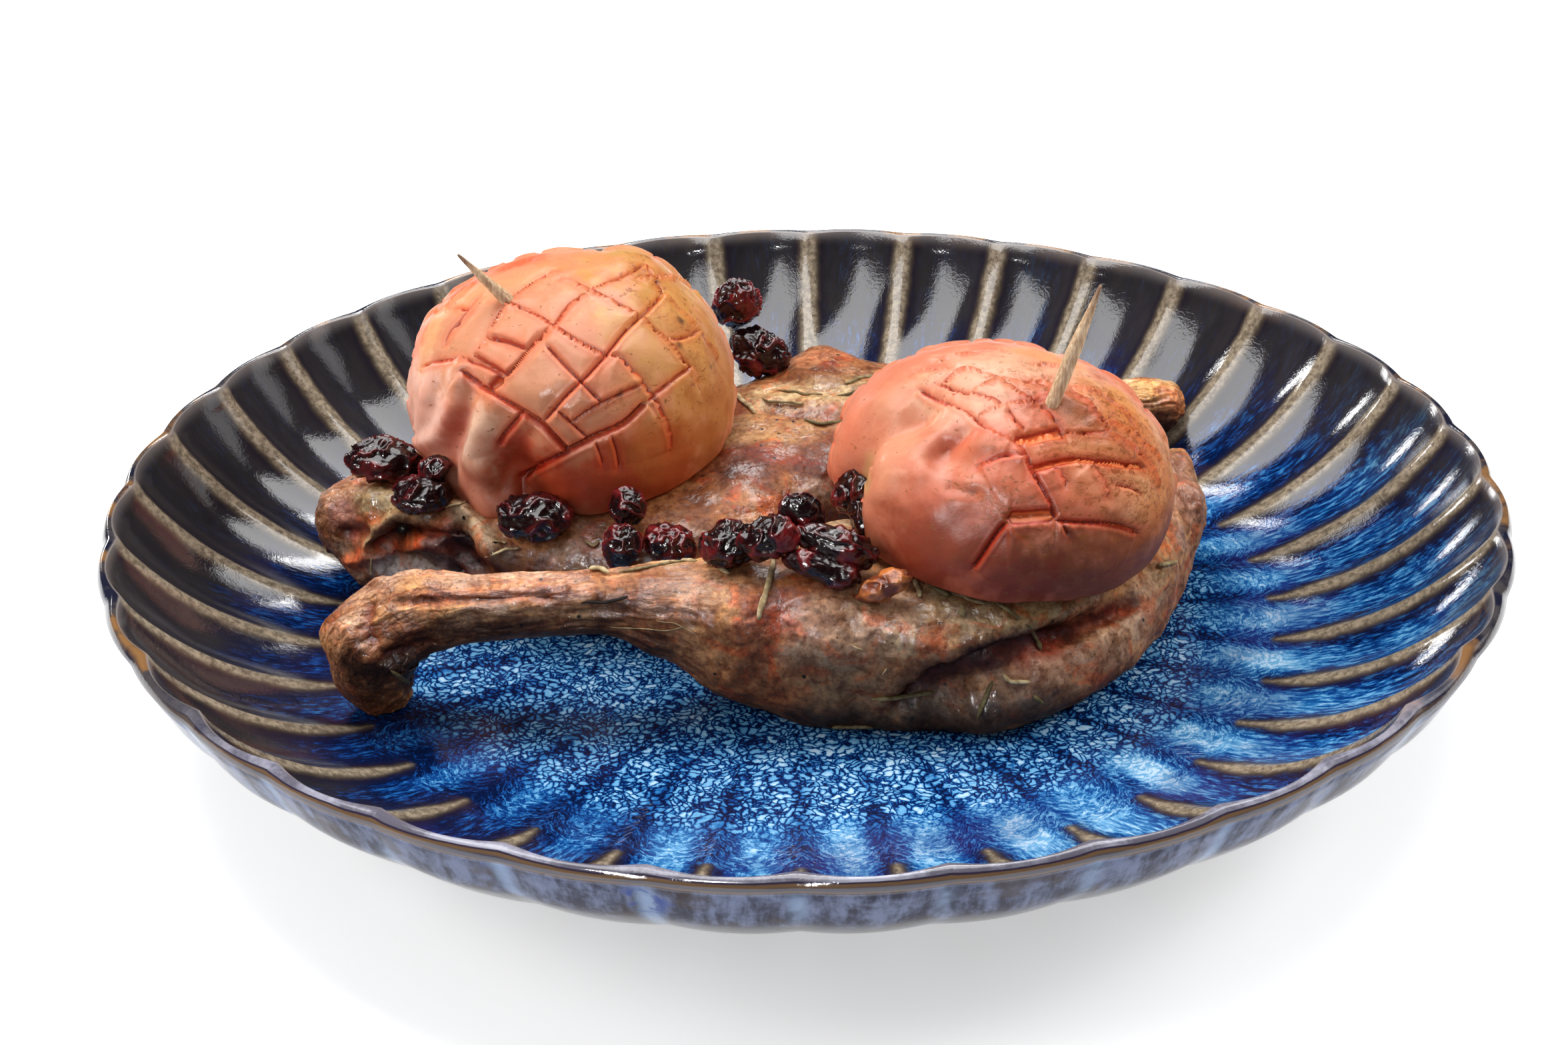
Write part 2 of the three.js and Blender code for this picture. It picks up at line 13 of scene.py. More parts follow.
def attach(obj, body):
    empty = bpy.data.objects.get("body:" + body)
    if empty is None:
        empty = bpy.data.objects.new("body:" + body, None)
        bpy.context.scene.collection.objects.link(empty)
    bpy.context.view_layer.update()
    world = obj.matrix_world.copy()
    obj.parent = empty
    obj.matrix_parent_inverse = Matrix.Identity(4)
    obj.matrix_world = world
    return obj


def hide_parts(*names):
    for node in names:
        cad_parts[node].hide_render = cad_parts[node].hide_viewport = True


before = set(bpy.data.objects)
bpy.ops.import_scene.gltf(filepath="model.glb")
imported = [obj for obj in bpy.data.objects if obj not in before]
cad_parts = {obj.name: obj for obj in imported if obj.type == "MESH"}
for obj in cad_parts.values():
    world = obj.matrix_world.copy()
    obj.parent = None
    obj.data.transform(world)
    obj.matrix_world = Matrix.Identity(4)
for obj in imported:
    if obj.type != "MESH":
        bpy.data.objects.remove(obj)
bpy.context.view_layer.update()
MM = 0.001


# Numbers: smooth steps and seeded noise
def smooth(v):
    v = np.clip(v, 0, 1)
    return v * v * (3 - 2 * v)


def lerp(a, b, t):
    return a + (b - a) * t


def lattice(cell, seed):
    """A fixed number from -1 to 1 for each whole-number place."""
    x, y, z = (cell[..., k].astype(np.int64) for k in range(3))
    n = (x * 73856093) ^ (y * 19349663) ^ (z * 83492791) ^ (seed * 2654435761)
    n = (n ^ (n >> 13)) * 1274126177 & 0x7FFFFFFF
    n = (n ^ (n >> 15)) * 668265263 & 0x7FFFFFFF
    return (n ^ (n >> 14)) % 65536 / 32767.5 - 1


def noise(points, size, seed=0, octaves=3, gain=0.5):
    """Smooth noise of about -1 to 1 with features of a size, at points of shape (..., 3)."""
    total = np.zeros(points.shape[:-1])
    amplitude, reach = 1.0, 0.0
    for octave in range(octaves):
        q = points / np.asarray(size, float) * 2**octave + 17.3 * octave
        cell = np.floor(q)
        f = q - cell
        f = f * f * f * (f * (f * 6 - 15) + 10)
        value = 0.0
        for corner in np.ndindex(2, 2, 2):
            pick = np.array(corner)
            weight = np.prod(np.where(pick == 1, f, 1 - f), axis=-1)
            value = value + weight * lattice(cell + pick, seed + octave)
        total += amplitude * value
        reach += amplitude
        amplitude *= gain
    return total / reach * 1.6


def ridged(points, size, seed=0, octaves=3):
    """Noise with sharp crests, from 0 in hollows to 1 on crests."""
    return 1 - np.clip(np.abs(noise(points, size, seed, octaves)) * 2, 0, 1)


def unit(v):
    return v / np.maximum(np.linalg.norm(v, axis=-1, keepdims=True), 1e-9)


# The camera of the photograph, and the longest step along a line drawn in its pixels
STEP_PIXELS = 9
LENS_MM, SENSOR_MM = 59.95, 36
PIXELS_WIDE, PIXELS_HIGH = 2352, 1568
EYE = np.array([-4.0, -451.5, 265.0])
FORWARD = unit(np.array([0.0, 0.8861, -0.4635]))
RIGHT = unit(np.array([0.9999, -0.0078, -0.0149]))
UP = np.cross(RIGHT, FORWARD)


def add_camera():
    data = bpy.data.cameras.new("camera")
    data.lens = LENS_MM
    data.sensor_width = SENSOR_MM
    data.clip_end = 20
    camera = bpy.data.objects.new("camera", data)
    bpy.context.scene.collection.objects.link(camera)
    turn = Matrix([RIGHT, UP, -FORWARD]).transposed().to_4x4()
    camera.matrix_world = Matrix.Translation(EYE * MM) @ turn
    bpy.context.scene.camera = camera


def to_photo(points):
    """Pixels of the photograph at which points show."""
    v = points - EYE
    depth = v @ FORWARD
    scale = LENS_MM / SENSOR_MM * PIXELS_WIDE
    u = PIXELS_WIDE / 2 + scale * (v @ RIGHT) / depth
    w = PIXELS_HIGH / 2 - scale * (v @ UP) / depth
    return np.stack([u, w], axis=-1)


class Surface:
    """A grid of points, closed around its columns or open, with its outward normals."""

    def __init__(self, points, closed=True):
        self.points = points
        self.closed = closed
        self.refresh()

    def refresh(self):
        p = self.points
        along, around = np.gradient(p, axis=0), np.gradient(p, axis=1)
        if self.closed:
            around = np.roll(p, -1, axis=1) - np.roll(p, 1, axis=1)
        self.normals = unit(np.cross(around, along))

    def push(self, height):
        """Moves each point along its normal by a height."""
        self.points = self.points + self.normals * height[..., None]

    def bumps(self, forms):
        """Height at each point of bumps (height, width, places of their path)."""
        lift = 0
        for tall, wide, path in forms:
            far, _ = self.reach(np.array(path, float))
            lift = lift + tall * np.exp(-((far / wide) ** 2))
        return lift[..., None]

    def places(self, pixels):
        """The visible places that show at pixels x, y, x, y, ..., joined by finer steps."""
        pixels = np.reshape(pixels, (-1, 2)).astype(float)
        fine = [pixels[0]]
        for a, b in zip(pixels, pixels[1:]):
            steps = max(1, int(np.linalg.norm(b - a) / STEP_PIXELS))
            fine += [lerp(a, b, (k + 1) / steps) for k in range(steps)]
        facing = np.einsum("ijk,ijk->ij", self.normals, EYE - self.points) > 0
        points = self.points[facing]
        seen = to_photo(points)
        near = [np.argmin(((seen - q) ** 2).sum(axis=1)) for q in fine]
        return points[near]

    def reach(self, path, within=60.0):
        """Distance of each point from a path, and the nearest place on it."""
        best = np.full(self.points.shape[:-1], np.inf)
        nearest = self.points.copy()
        path = np.asarray(path, float)
        if len(path) == 1:
            path = np.concatenate([path, path])
        low, high = path.min(axis=0) - within, path.max(axis=0) + within
        close = np.all((self.points > low) & (self.points < high), axis=-1)
        points = self.points[close]
        least = np.full(len(points), np.inf)
        place = points.copy()
        for a, b in zip(path, path[1:]):
            ab = b - a
            t = np.clip(((points - a) @ ab) / max(ab @ ab, 1e-9), 0, 1)
            q = a + t[:, None] * ab
            d = np.linalg.norm(points - q, axis=-1)
            closer = d < least
            least[closer] = d[closer]
            place[closer] = q[closer]
        best[close] = least
        nearest[close] = place
        return best, nearest


# Meshes
def add_mesh(name, points, faces, values):
    """A smooth mesh object from points in millimetres, with named values for its material."""
    mesh = bpy.data.meshes.new(name)
    mesh.from_pydata(points.reshape(-1, 3) * MM, [], faces)
    for key, value in values.items():
        value = np.asarray(value, np.float32)
        single = value.size == len(mesh.vertices)
        kind, field = ("FLOAT", "value") if single else ("FLOAT_VECTOR", "vector")
        mesh.attributes.new(key, kind, "POINT").data.foreach_set(field, value.ravel())
    mesh.shade_smooth()
    mesh.update()
    thing = bpy.data.objects.new(name, mesh)
    bpy.context.scene.collection.objects.link(thing)
    return thing


def grid_faces(rows, columns, closed=True):
    """Quads between rows of points, which face the way that around x along points."""
    wide = columns if closed else columns - 1
    i, j = np.meshgrid(np.arange(rows - 1), np.arange(wide), indexing="ij")
    k = (j + 1) % columns
    a, b = i * columns + j, i * columns + k
    c, d = (i + 1) * columns + k, (i + 1) * columns + j
    return np.stack([a, b, c, d], axis=-1).reshape(-1, 4)


def add_grid(name, surface, values, flip=False):
    """A mesh of a grid surface whose two ends close in a point."""
    points = surface.points
    rows, columns = points.shape[:2]
    faces = grid_faces(rows, columns).tolist()
    flat = points.reshape(-1, 3)
    values = {k: np.asarray(v).reshape(rows * columns, -1) for k, v in values.items()}
    for row, start in ((0, 0), (rows - 1, (rows - 1) * columns)):
        middle = len(flat)
        flat = np.vstack([flat, points[row].mean(axis=0)])
        for key, value in values.items():
            values[key] = np.vstack([value, value[start : start + columns].mean(axis=0)])
        ring = [(start + j, start + (j + 1) % columns) for j in range(columns)]
        faces += [(middle, b, a) if row == 0 else (middle, a, b) for a, b in ring]
    if flip:
        faces = [tuple(reversed(face)) for face in faces]
    return add_mesh(name, flat, faces, values)


# Materials: sockets that add and multiply, and a small builder of shader trees
class Value:
    """A node's output; sums and products of it add Math nodes to its tree."""

    def __init__(self, shader, socket):
        self.shader, self.socket = shader, socket

    def __add__(self, other):
        return self.shader.math("ADD", self, other)

    def __sub__(self, other):
        return self.shader.math("SUBTRACT", self, other)

    def __rsub__(self, other):
        return self.shader.math("SUBTRACT", other, self)

    def __mul__(self, other):
        return self.shader.math("MULTIPLY", self, other)


class Shader:
    def __init__(self, name):
        self.material = bpy.data.materials.new(name)
        self.material.use_nodes = True
        self.tree = self.material.node_tree
        self.tree.nodes.clear()

    def node(self, kind, settings=None, inputs=None, output=0):
        made = self.tree.nodes.new("ShaderNode" + kind)
        for key, value in (settings or {}).items():
            setattr(made, key, value)
        for key, value in (inputs or {}).items():
            self.feed(made.inputs[key], value)
        return Value(self, made.outputs[output])

    def feed(self, socket, value):
        if isinstance(value, Value):
            self.tree.links.new(value.socket, socket)
        elif isinstance(value, tuple) and socket.type == "RGBA":
            socket.default_value = (*value, 1)
        else:
            socket.default_value = value

    def math(self, operation, a, b=0.0, clamp=False):
        settings = {"operation": operation, "use_clamp": clamp}
        return self.node("Math", settings, {0: a, 1: b})

    def band(self, value, low, high):
        """0 below low, 1 above high; the other way round where low is above high."""
        ends = (1.0, 0.0) if low > high else (0.0, 1.0)
        names = ("Value", "From Min", "From Max", "To Min", "To Max")
        inputs = dict(zip(names, (value, min(low, high), max(low, high), *ends)))
        return self.node("MapRange", {"interpolation_type": "SMOOTHSTEP"}, inputs)

    def mix(self, share, a, b, blend="MIX"):
        settings = {"data_type": "RGBA", "blend_type": blend}
        return self.node("Mix", settings, {0: share, 6: a, 7: b}, 2)

    def tint(self, share, colour, by):
        """A colour, multiplied by another over a share of the surface."""
        return self.mix(share, colour, self.mix(1.0, colour, by, "MULTIPLY"))

    def value(self, name):
        return self.node("Attribute", {"attribute_name": name}, output=2)

    def vector(self, name):
        return self.node("Attribute", {"attribute_name": name}, output=1)

    def colour(self, name):
        return self.node("Attribute", {"attribute_name": name}, output=0)

    def place(self):
        return self.node("TexCoord", output=3)

    def parts(self, vector):
        """The X and Y of a vector."""
        return [self.node("SeparateXYZ", None, {0: vector}, k) for k in (0, 1)]

    def joined(self, x, y):
        return self.node("CombineXYZ", None, {0: x, 1: y})

    def scaled(self, vector, scale):
        return self.node("Mapping", None, {"Vector": vector, "Scale": scale})

    def noise(self, vector, scale, detail=4.0, rough=0.55, warp=0.0, output=0):
        names = ("Vector", "Scale", "Detail", "Roughness", "Distortion")
        inputs = dict(zip(names, (vector, scale, detail, rough, warp)))
        return self.node("TexNoise", None, inputs, output)

    def cells(self, vector, scale, feature="DISTANCE_TO_EDGE", output=0):
        inputs = {"Vector": vector, "Scale": scale, "Randomness": 1.0}
        return self.node("TexVoronoi", {"feature": feature}, inputs, output)

    def moved(self, vector, amount, *noise):
        """A vector shifted by a noise colour, for uneven edges."""
        by = self.noise(*noise, output=1)
        centred = self.node("VectorMath", {"operation": "SUBTRACT"}, {0: by, 1: (0.5,) * 3})
        grown = self.node("VectorMath", {"operation": "SCALE"}, {0: centred, "Scale": amount})
        return self.node("VectorMath", {"operation": "ADD"}, {0: vector, 1: grown})

    def bump(self, height, distance, strength):
        inputs = {"Height": height, "Distance": distance, "Strength": strength}
        return self.node("Bump", None, inputs)

    def finish(self, **inputs):
        surface = self.tree.nodes.new("ShaderNodeBsdfPrincipled")
        for key, value in inputs.items():
            self.feed(surface.inputs[key.replace("_", " ")], value)
        out = self.tree.nodes.new("ShaderNodeOutputMaterial")
        self.tree.links.new(surface.outputs[0], out.inputs[0])
        return self.material


# Plate: the same walls as its solid, with rounded ridges and lip
PETALS = 36
PLATE_TURN = math.radians(-1.3)
RIM_RADIUS, RIM_HEIGHT = 130, 38
WELL_RADIUS, WELL_HEIGHT, WELL_DISH = 90, 11, 1.2
WALL_RISE_POWER, WALL_ROUND_POWER = 1.6, 0.8
FLUTE_DEPTH, LIP_BULGE, OUTER_BULGE = 3.1, 1.9, 0.6
LIP_THICKNESS, WALL_THICKNESS = 3.2, 4.8
FOOT_OUTER, FOOT_INNER, FOOT_HEIGHT = 80, 73, 4.6
STEPS_PER_PETAL = 14
RIDGE_ROUNDING = 0.12
# Rows of points in each part of the plate
WELL_ROWS, WALL_ROWS, LIP_ROWS, OUTSIDE_ROWS = 14, 52, 9, 26
# Under the plate: radius and height of each ring
FOOT_RINGS = [
    (85, FOOT_HEIGHT + 0.4), (83, FOOT_HEIGHT), (FOOT_OUTER + 0.4, 0.8), (FOOT_OUTER, 0),
    (FOOT_INNER, 0), (FOOT_INNER - 0.4, 0.8), (70, FOOT_HEIGHT), (40, FOOT_HEIGHT),
    (6, FOOT_HEIGHT),
]


def well_z(r):
    return WELL_HEIGHT - WELL_DISH * (1 - np.minimum(1, r / WELL_RADIUS) ** 2)


def wall_share(r):
    return np.clip((r - WELL_RADIUS) / (RIM_RADIUS - WELL_RADIUS), 0, 1)


def ridge_z(r):
    t = wall_share(r)
    rise = 1 - (1 - t**WALL_RISE_POWER) ** WALL_ROUND_POWER
    return well_z(r) + (RIM_HEIGHT - WELL_HEIGHT) * rise


def wall_outward(r):
    step = 0.2
    slope = (ridge_z(min(r, RIM_RADIUS - step)) - ridge_z(r - step)) / step
    tilt = math.pi / 2 if r > RIM_RADIUS - 1 else math.atan(max(slope, 0))
    return math.sin(tilt), math.cos(tilt)


def flute_depth(r):
    t = wall_share(r)
    return lerp(FLUTE_DEPTH * smooth(t / 0.8), LIP_BULGE, smooth((t - 0.6) / 0.4))


def petal(across):
    """Share of the flute depth across a petal, with a slightly rounded ridge."""
    p = 4 * across * (1 - across)
    e = RIDGE_ROUNDING
    return (np.sqrt(p * p + e * e) - e) / (math.sqrt(1 + e * e) - e)


def plate_ring(radius, thickness=0.0, bulge=None, lift=0.0):
    columns = PETALS * STEPS_PER_PETAL
    j = np.arange(columns)
    across = (j % STEPS_PER_PETAL) / STEPS_PER_PETAL
    angle = 2 * math.pi * j / columns + PLATE_TURN
    out, down = wall_outward(radius)
    push = thickness + (flute_depth(radius) if bulge is None else bulge) * petal(across)
    r = radius + out * push
    z = ridge_z(radius) + lift - down * push
    return np.stack([r * np.cos(angle), r * np.sin(angle), z], axis=-1)


def flat_ring(radius, z):
    ring = plate_ring(WELL_RADIUS, bulge=0)
    ring[:, :2] *= radius / WELL_RADIUS
    ring[:, 2] = z
    return ring


def build_plate():
    rings, wall, region = [], [], []

    def put(ring, at, part):
        rings.append(ring)
        wall.append(at)
        region.append(part)

    for r in np.linspace(4, WELL_RADIUS - 2, WELL_ROWS):
        put(flat_ring(r, well_z(r)), r / WELL_RADIUS - 1, 0)
    for r in np.linspace(WELL_RADIUS, RIM_RADIUS - 1.2, WALL_ROWS):
        put(plate_ring(r), wall_share(r), 0)
    for turn in np.linspace(0, 1, LIP_ROWS):
        lift = 0.5 * math.sin(math.pi * turn) - 1.3 * turn**3
        bulge = lerp(LIP_BULGE, OUTER_BULGE, turn)
        ring = plate_ring(RIM_RADIUS, (LIP_THICKNESS - 0.05) * turn, bulge, lift)
        put(ring, 1 + turn, 0.5)
    for r in np.linspace(RIM_RADIUS - 1.5, 97, OUTSIDE_ROWS):
        thick = lerp(WALL_THICKNESS, LIP_THICKNESS, smooth((r - 124) / 6))
        put(plate_ring(r, thick, OUTER_BULGE), wall_share(r), 1)
    for r, z in FOOT_RINGS:
        put(flat_ring(r, z), 0, 1)
    rows, columns = len(rings), PETALS * STEPS_PER_PETAL
    surface = Surface(np.array(rings))
    steps = np.linalg.norm(np.diff(surface.points, axis=0, prepend=surface.points[:1]), axis=-1)
    along = np.cumsum(steps.mean(axis=1))
    radius = np.hypot(surface.points[..., 0], surface.points[..., 1])
    across = np.tile((np.arange(columns) % STEPS_PER_PETAL) / STEPS_PER_PETAL, (rows, 1))
    ridge = np.minimum(across, 1 - across) * 2 * math.pi * radius / PETALS
    values = {
        "wall": np.repeat(wall, columns),
        "region": np.repeat(region, columns),
        "ridge": ridge,
        "radius": radius,
        "turn": 2 * np.minimum(across, 1 - across),
    }
    thing = add_grid("dinner_plate", surface, values, flip=True)
    add_flow(thing.data, rows, columns, along)
    return thing


def add_flow(mesh, rows, columns, along):
    """Corner values that run across and up each petal, unbroken inside it."""
    corners = np.empty(len(mesh.loops), int)
    mesh.loops.foreach_get("vertex_index", corners)
    sizes = np.empty(len(mesh.polygons), int)
    mesh.polygons.foreach_get("loop_total", sizes)
    face = np.repeat(np.arange(len(sizes)), sizes)
    row, column = np.divmod(corners, columns)
    row = np.minimum(row, rows - 1)
    first = np.full(len(sizes), columns)
    np.minimum.at(first, face, column)
    wraps = np.zeros(len(sizes), int)
    np.maximum.at(wraps, face, column)
    first = np.where(wraps - first > columns // 2, wraps, first)[face]
    column = np.where(column < first - columns // 2, column + columns, column)
    index = first // STEPS_PER_PETAL
    local = (column - index * STEPS_PER_PETAL) / STEPS_PER_PETAL - 0.5
    flow = np.stack([local + index, along[row] / 100], axis=-1)
    mesh.uv_layers.new(name="flow").data.foreach_set("uv", flow.astype(np.float32).ravel())


def glaze_material():
    s = Shader("glaze")
    place = s.place()
    flow = s.node("UVMap", {"uv_map": "flow"})
    petal_across, along = s.parts(flow)
    spot_x, spot_y = s.parts(place)
    wall, region, ridge = s.value("wall"), s.value("region"), s.value("ridge")
    radius, turn = s.value("radius"), s.value("turn")
    patches = s.noise(place, 48.0, 4.0, 0.6, 0.6)
    dark, deep = (0.0015, 0.007, 0.04), (0.003, 0.038, 0.2)
    mid, pale, palest = (0.018, 0.15, 0.4), (0.14, 0.39, 0.65), (0.5, 0.68, 0.84)

    def blues(level):
        colour = s.mix(s.band(level, 0.2, 0.42), dark, deep)
        colour = s.mix(s.band(level, 0.38, 0.56), colour, mid)
        colour = s.mix(s.band(level, 0.54, 0.74), colour, pale)
        return s.mix(s.band(level, 0.76, 1.0), colour, palest)

    # Small pale pebbles in a dark net, in the well
    pebble_place = s.moved(s.moved(place, 0.0017, place, 700.0, 2.0), 0.008, place, 130.0, 2.0)
    edge = s.cells(pebble_place, 640.0)
    shade = s.node("SeparateColor", None, {0: s.cells(pebble_place, 640.0, "F1", output=1)})
    net_width = s.noise(place, 210.0, 3.0) * 0.16 + 0.1
    net = s.math("DIVIDE", edge, net_width, clamp=True)
    rays = s.band(turn, 0.0, 0.45)
    inside = s.band(radius + patches * 26.0, 86.0, 58.0)
    rays = s.math("MAXIMUM", rays, inside)
    level = shade * 0.26 + (patches * 0.62 + rays * 0.28)
    level = level + s.band(edge, 0.05, 0.4) * 0.2
    level = level * (net * 0.66 + 0.34) - 0.06

    # Fine curls that bend round inside each petal, and streaks that run up it
    local = s.math("FRACT", petal_across + 0.5) - 0.5
    lifted = along + local * local * 0.2
    curl_at = s.joined(petal_across * 7.0, lifted * 85.0)
    curl_at = s.moved(curl_at, 3.2, place, 190.0, 3.0)
    curl = s.noise(curl_at, 1.5, 4.0, 0.7, 0.6)
    streak_at = s.joined(petal_across * 15.0, along * 17.0)
    streak_at = s.moved(streak_at, 1.2, place, 90.0, 2.0)
    streak = s.noise(streak_at, 1.5, 5.0, 0.72, 0.2)
    lines = s.mix(s.band(wall + patches * 0.16, 0.1, 0.26), curl, streak)
    lines = s.band(lines, 0.4, 0.68)
    middle = s.band(turn, 0.1, 0.9) * 0.24 - 0.12
    wash = s.noise(s.scaled(flow, (1.4, 2.6, 1.0)), 1.0, 3.0, 0.6) - 0.5
    # The front right is lighter and keeps its blue up to the lip, and the left is darker: partly
    # the glaze, partly painted light and shade
    glaze_and_light_front_right = s.band(spot_x - spot_y * 0.9, 0.0, 0.15)
    climb = glaze_and_light_front_right * 0.17 + 0.24 - s.band(wall, 0.0, 0.5) * 0.2
    glaze_and_shade_left = s.band(spot_x, -0.03, -0.1)
    climb = climb - glaze_and_shade_left * 0.09
    cloud = s.band(s.noise(place, 75.0, 3.0, 0.6, 0.8), 0.42, 0.6) * s.band(turn, 0.3, 0.8)
    cloud = cloud * (s.band(radius, 74.0, 82.0) * s.band(radius, 106.0, 88.0))
    wet = wash * 0.7 + middle + (climb + cloud * glaze_and_light_front_right * 0.3)
    lines = lines * (glaze_and_light_front_right * 0.1 + 0.38) + wet
    flowing = s.band(radius + patches * 18.0, 84.0, 96.0)
    level = s.mix(flowing, level + cloud * glaze_and_light_front_right * 0.22, lines)
    colour = blues(level)
    violet = s.band(s.noise(place, 34.0, 3.0), 0.5, 0.68) * s.band(radius, 74.0, 88.0)
    colour = s.mix(violet * 0.45, colour, (0.022, 0.016, 0.13))

    # Charcoal towards the lip and tan along each ridge
    smoke = s.noise(s.scaled(flow, (5.0, 7.0, 1.0)), 1.0, 4.0, 0.65)
    # Less charcoal on the front right and more on the left: partly painted light and shade
    high = wall + (smoke * 0.55 - glaze_and_light_front_right * 0.24)
    high = high + glaze_and_shade_left * 0.16
    char = s.mix(smoke, (0.01, 0.009, 0.012), (0.045, 0.039, 0.036))
    colour = s.mix(s.band(high, 0.62, 1.1) * 0.92, colour, char)
    grain = s.noise(place, 800.0, 3.0, 0.7)
    on_wall = s.band(wall, 0.01, 0.05) * s.band(wall, 1.04, 0.98)
    reach = ridge - s.band(wall, 0.0, 0.32) * 1.7
    reach = reach + (s.noise(place, 260.0, 3.0) - 0.5) * 1.4
    colour = s.mix(s.band(reach, 3.4, 0.6) * on_wall * 0.75, colour, (0.014, 0.01, 0.02))
    colour = s.mix(s.band(reach, 1.5, 0.3) * on_wall * 0.8, colour, (0.07, 0.052, 0.036))
    tan = s.mix(s.band(grain, 0.3, 0.7), (0.13, 0.1, 0.07), (0.38, 0.31, 0.22))
    colour = s.mix(s.band(reach, 0.75, -0.65) * on_wall, colour, tan)

    # Lip and outside
    lip_tone = s.noise(place, 70.0, 4.0)
    lip_colour = s.mix(s.band(s.noise(place, 180.0, 3.0), 0.4, 0.62), (0.012, 0.013, 0.03),
                       (0.065, 0.058, 0.06))
    rust = s.band(lip_tone, 0.5, 0.6) * s.band(wall, 1.9, 1.5)
    lip_colour = s.mix(rust, lip_colour, (0.26, 0.13, 0.05))
    # Painted reflection: pale lavender over the front of the lip, with thin glaze bands towards its
    # outer side
    front = s.band(spot_y, -0.07, -0.105)
    front_lip_reflection_and_glaze = s.mix(s.band(lip_tone + grain * 0.2, 0.5, 0.72), (0.14, 0.13, 0.17),
                     (0.42, 0.42, 0.52))
    crest = wall + (lip_tone - 0.5) * 0.25
    front_lip_reflection_and_glaze = s.mix(s.band(crest, 1.7, 1.75), front_lip_reflection_and_glaze, (0.03, 0.022, 0.05))
    front_lip_reflection_and_glaze = s.mix(s.band(crest, 1.77, 1.83), front_lip_reflection_and_glaze, (0.16, 0.095, 0.05))
    front_lip_reflection_and_glaze = s.mix(s.band(crest, 1.87, 1.97), front_lip_reflection_and_glaze, (0.07, 0.07, 0.1))
    lip_colour = s.mix(front, lip_colour, front_lip_reflection_and_glaze)
    # Painted highlight: a thin pale line along the inner edge of the lip
    lip_edge_highlight = s.band(wall, 0.96, 1.0) * s.band(wall, 1.2, 1.04)
    lip_colour = s.mix(lip_edge_highlight * 0.8, lip_colour, (0.34, 0.3, 0.28))
    colour = s.mix(s.band(wall, 0.97, 1.03) * 0.95, colour, lip_colour)
    run_at = s.joined(petal_across * 5.0, along * 5.0)
    run = s.noise(s.moved(run_at, 0.8, place, 60.0, 2.0), 1.4, 5.0, 0.66)
    fleck = s.noise(s.moved(place, 0.004, place, 150.0, 2.0), 260.0, 5.0, 0.66)
    upper = s.band(wall, 0.5, 0.98) * 0.3 + run * 0.62
    upper = upper + fleck * 0.38
    outside = s.mix(s.band(upper, 0.57, 0.7), (0.004, 0.004, 0.008), (0.028, 0.03, 0.052))
    outside = s.mix(s.band(upper, 0.7, 0.9), outside, (0.13, 0.155, 0.25))
    outside = s.mix(s.band(s.noise(place, 120.0, 4.0), 0.52, 0.66) * 0.6, outside,
                    (0.05, 0.034, 0.026))
    notch = s.band(ridge + run * 3.0, 4.2, 1.6) * s.band(lip_tone, 0.35, 0.6)
    outside = s.mix(notch * 0.75, outside, (0.24, 0.33, 0.5))
    cobalt = s.band(s.noise(place, 40.0, 3.0), 0.56, 0.66) * s.band(fleck, 0.5, 0.62)
    cobalt = cobalt * (s.band(wall, 0.8, 0.96) * s.band(ridge, 5.0, 2.0))
    outside = s.mix(cobalt * 0.8, outside, (0.006, 0.03, 0.2))
    colour = s.mix(s.band(region, 0.52, 0.7), colour, outside)
    relief = s.bump(net * 0.3 + lines * 0.7, 0.0001, 0.22)
    gloss = 0.5 - s.band(region, 0.55, 0.75) * 0.42
    return s.finish(Base_Color=colour, Roughness=0.1, IOR=1.52, Specular_IOR_Level=gloss,
                    Normal=relief)


# Paint: soft patches of colour over a piece, with edges broken up by noise
def paint(surface, base, dabs, seed=0):
    """Linear colour at each point: a base, then patches (pixels, radius, colour, strength)."""
    colour = np.broadcast_to(np.array(base, float), surface.points.shape).copy()
    rough = noise(surface.points, 7, seed, 4) * 0.45 + noise(surface.points, 1.6, seed + 9, 3) * 0.3
    for pixels, radius, tint, strength in dabs:
        far, _ = surface.reach(surface.places(pixels))
        share = strength * smooth(1.35 - far / radius + rough)
        colour = lerp(colour, np.array(tint, float), share[..., None])
    return colour


# Legs: the same stations as their solids: middle x, y, z, half width, rise and drop
def curve_at(points, t):
    """A centripetal spline through points, at shares t of its count of spans."""
    last = len(points) - 1
    index = np.minimum((t * last).astype(int), last - 1)
    w = (t * last - index)[:, None]
    padded = np.vstack([2 * points[0] - points[1], points, 2 * points[-1] - points[-2]])
    x0, x1, x2, x3 = (padded[index + k] for k in range(4))
    gaps = [np.maximum(((b - a) ** 2).sum(axis=1) ** 0.25, 1e-4)[:, None]
            for a, b in ((x0, x1), (x1, x2), (x2, x3))]
    d0, d1, d2 = gaps
    m1 = ((x1 - x0) / d0 - (x2 - x0) / (d0 + d1) + (x2 - x1) / d1) * d1
    m2 = ((x2 - x1) / d1 - (x3 - x1) / (d1 + d2) + (x3 - x2) / d2) * d1
    c2 = -3 * x1 + 3 * x2 - 2 * m1 - m2
    c3 = 2 * x1 - 2 * x2 + m1 + m2
    return x1 + m1 * w + c2 * w**2 + c3 * w**3


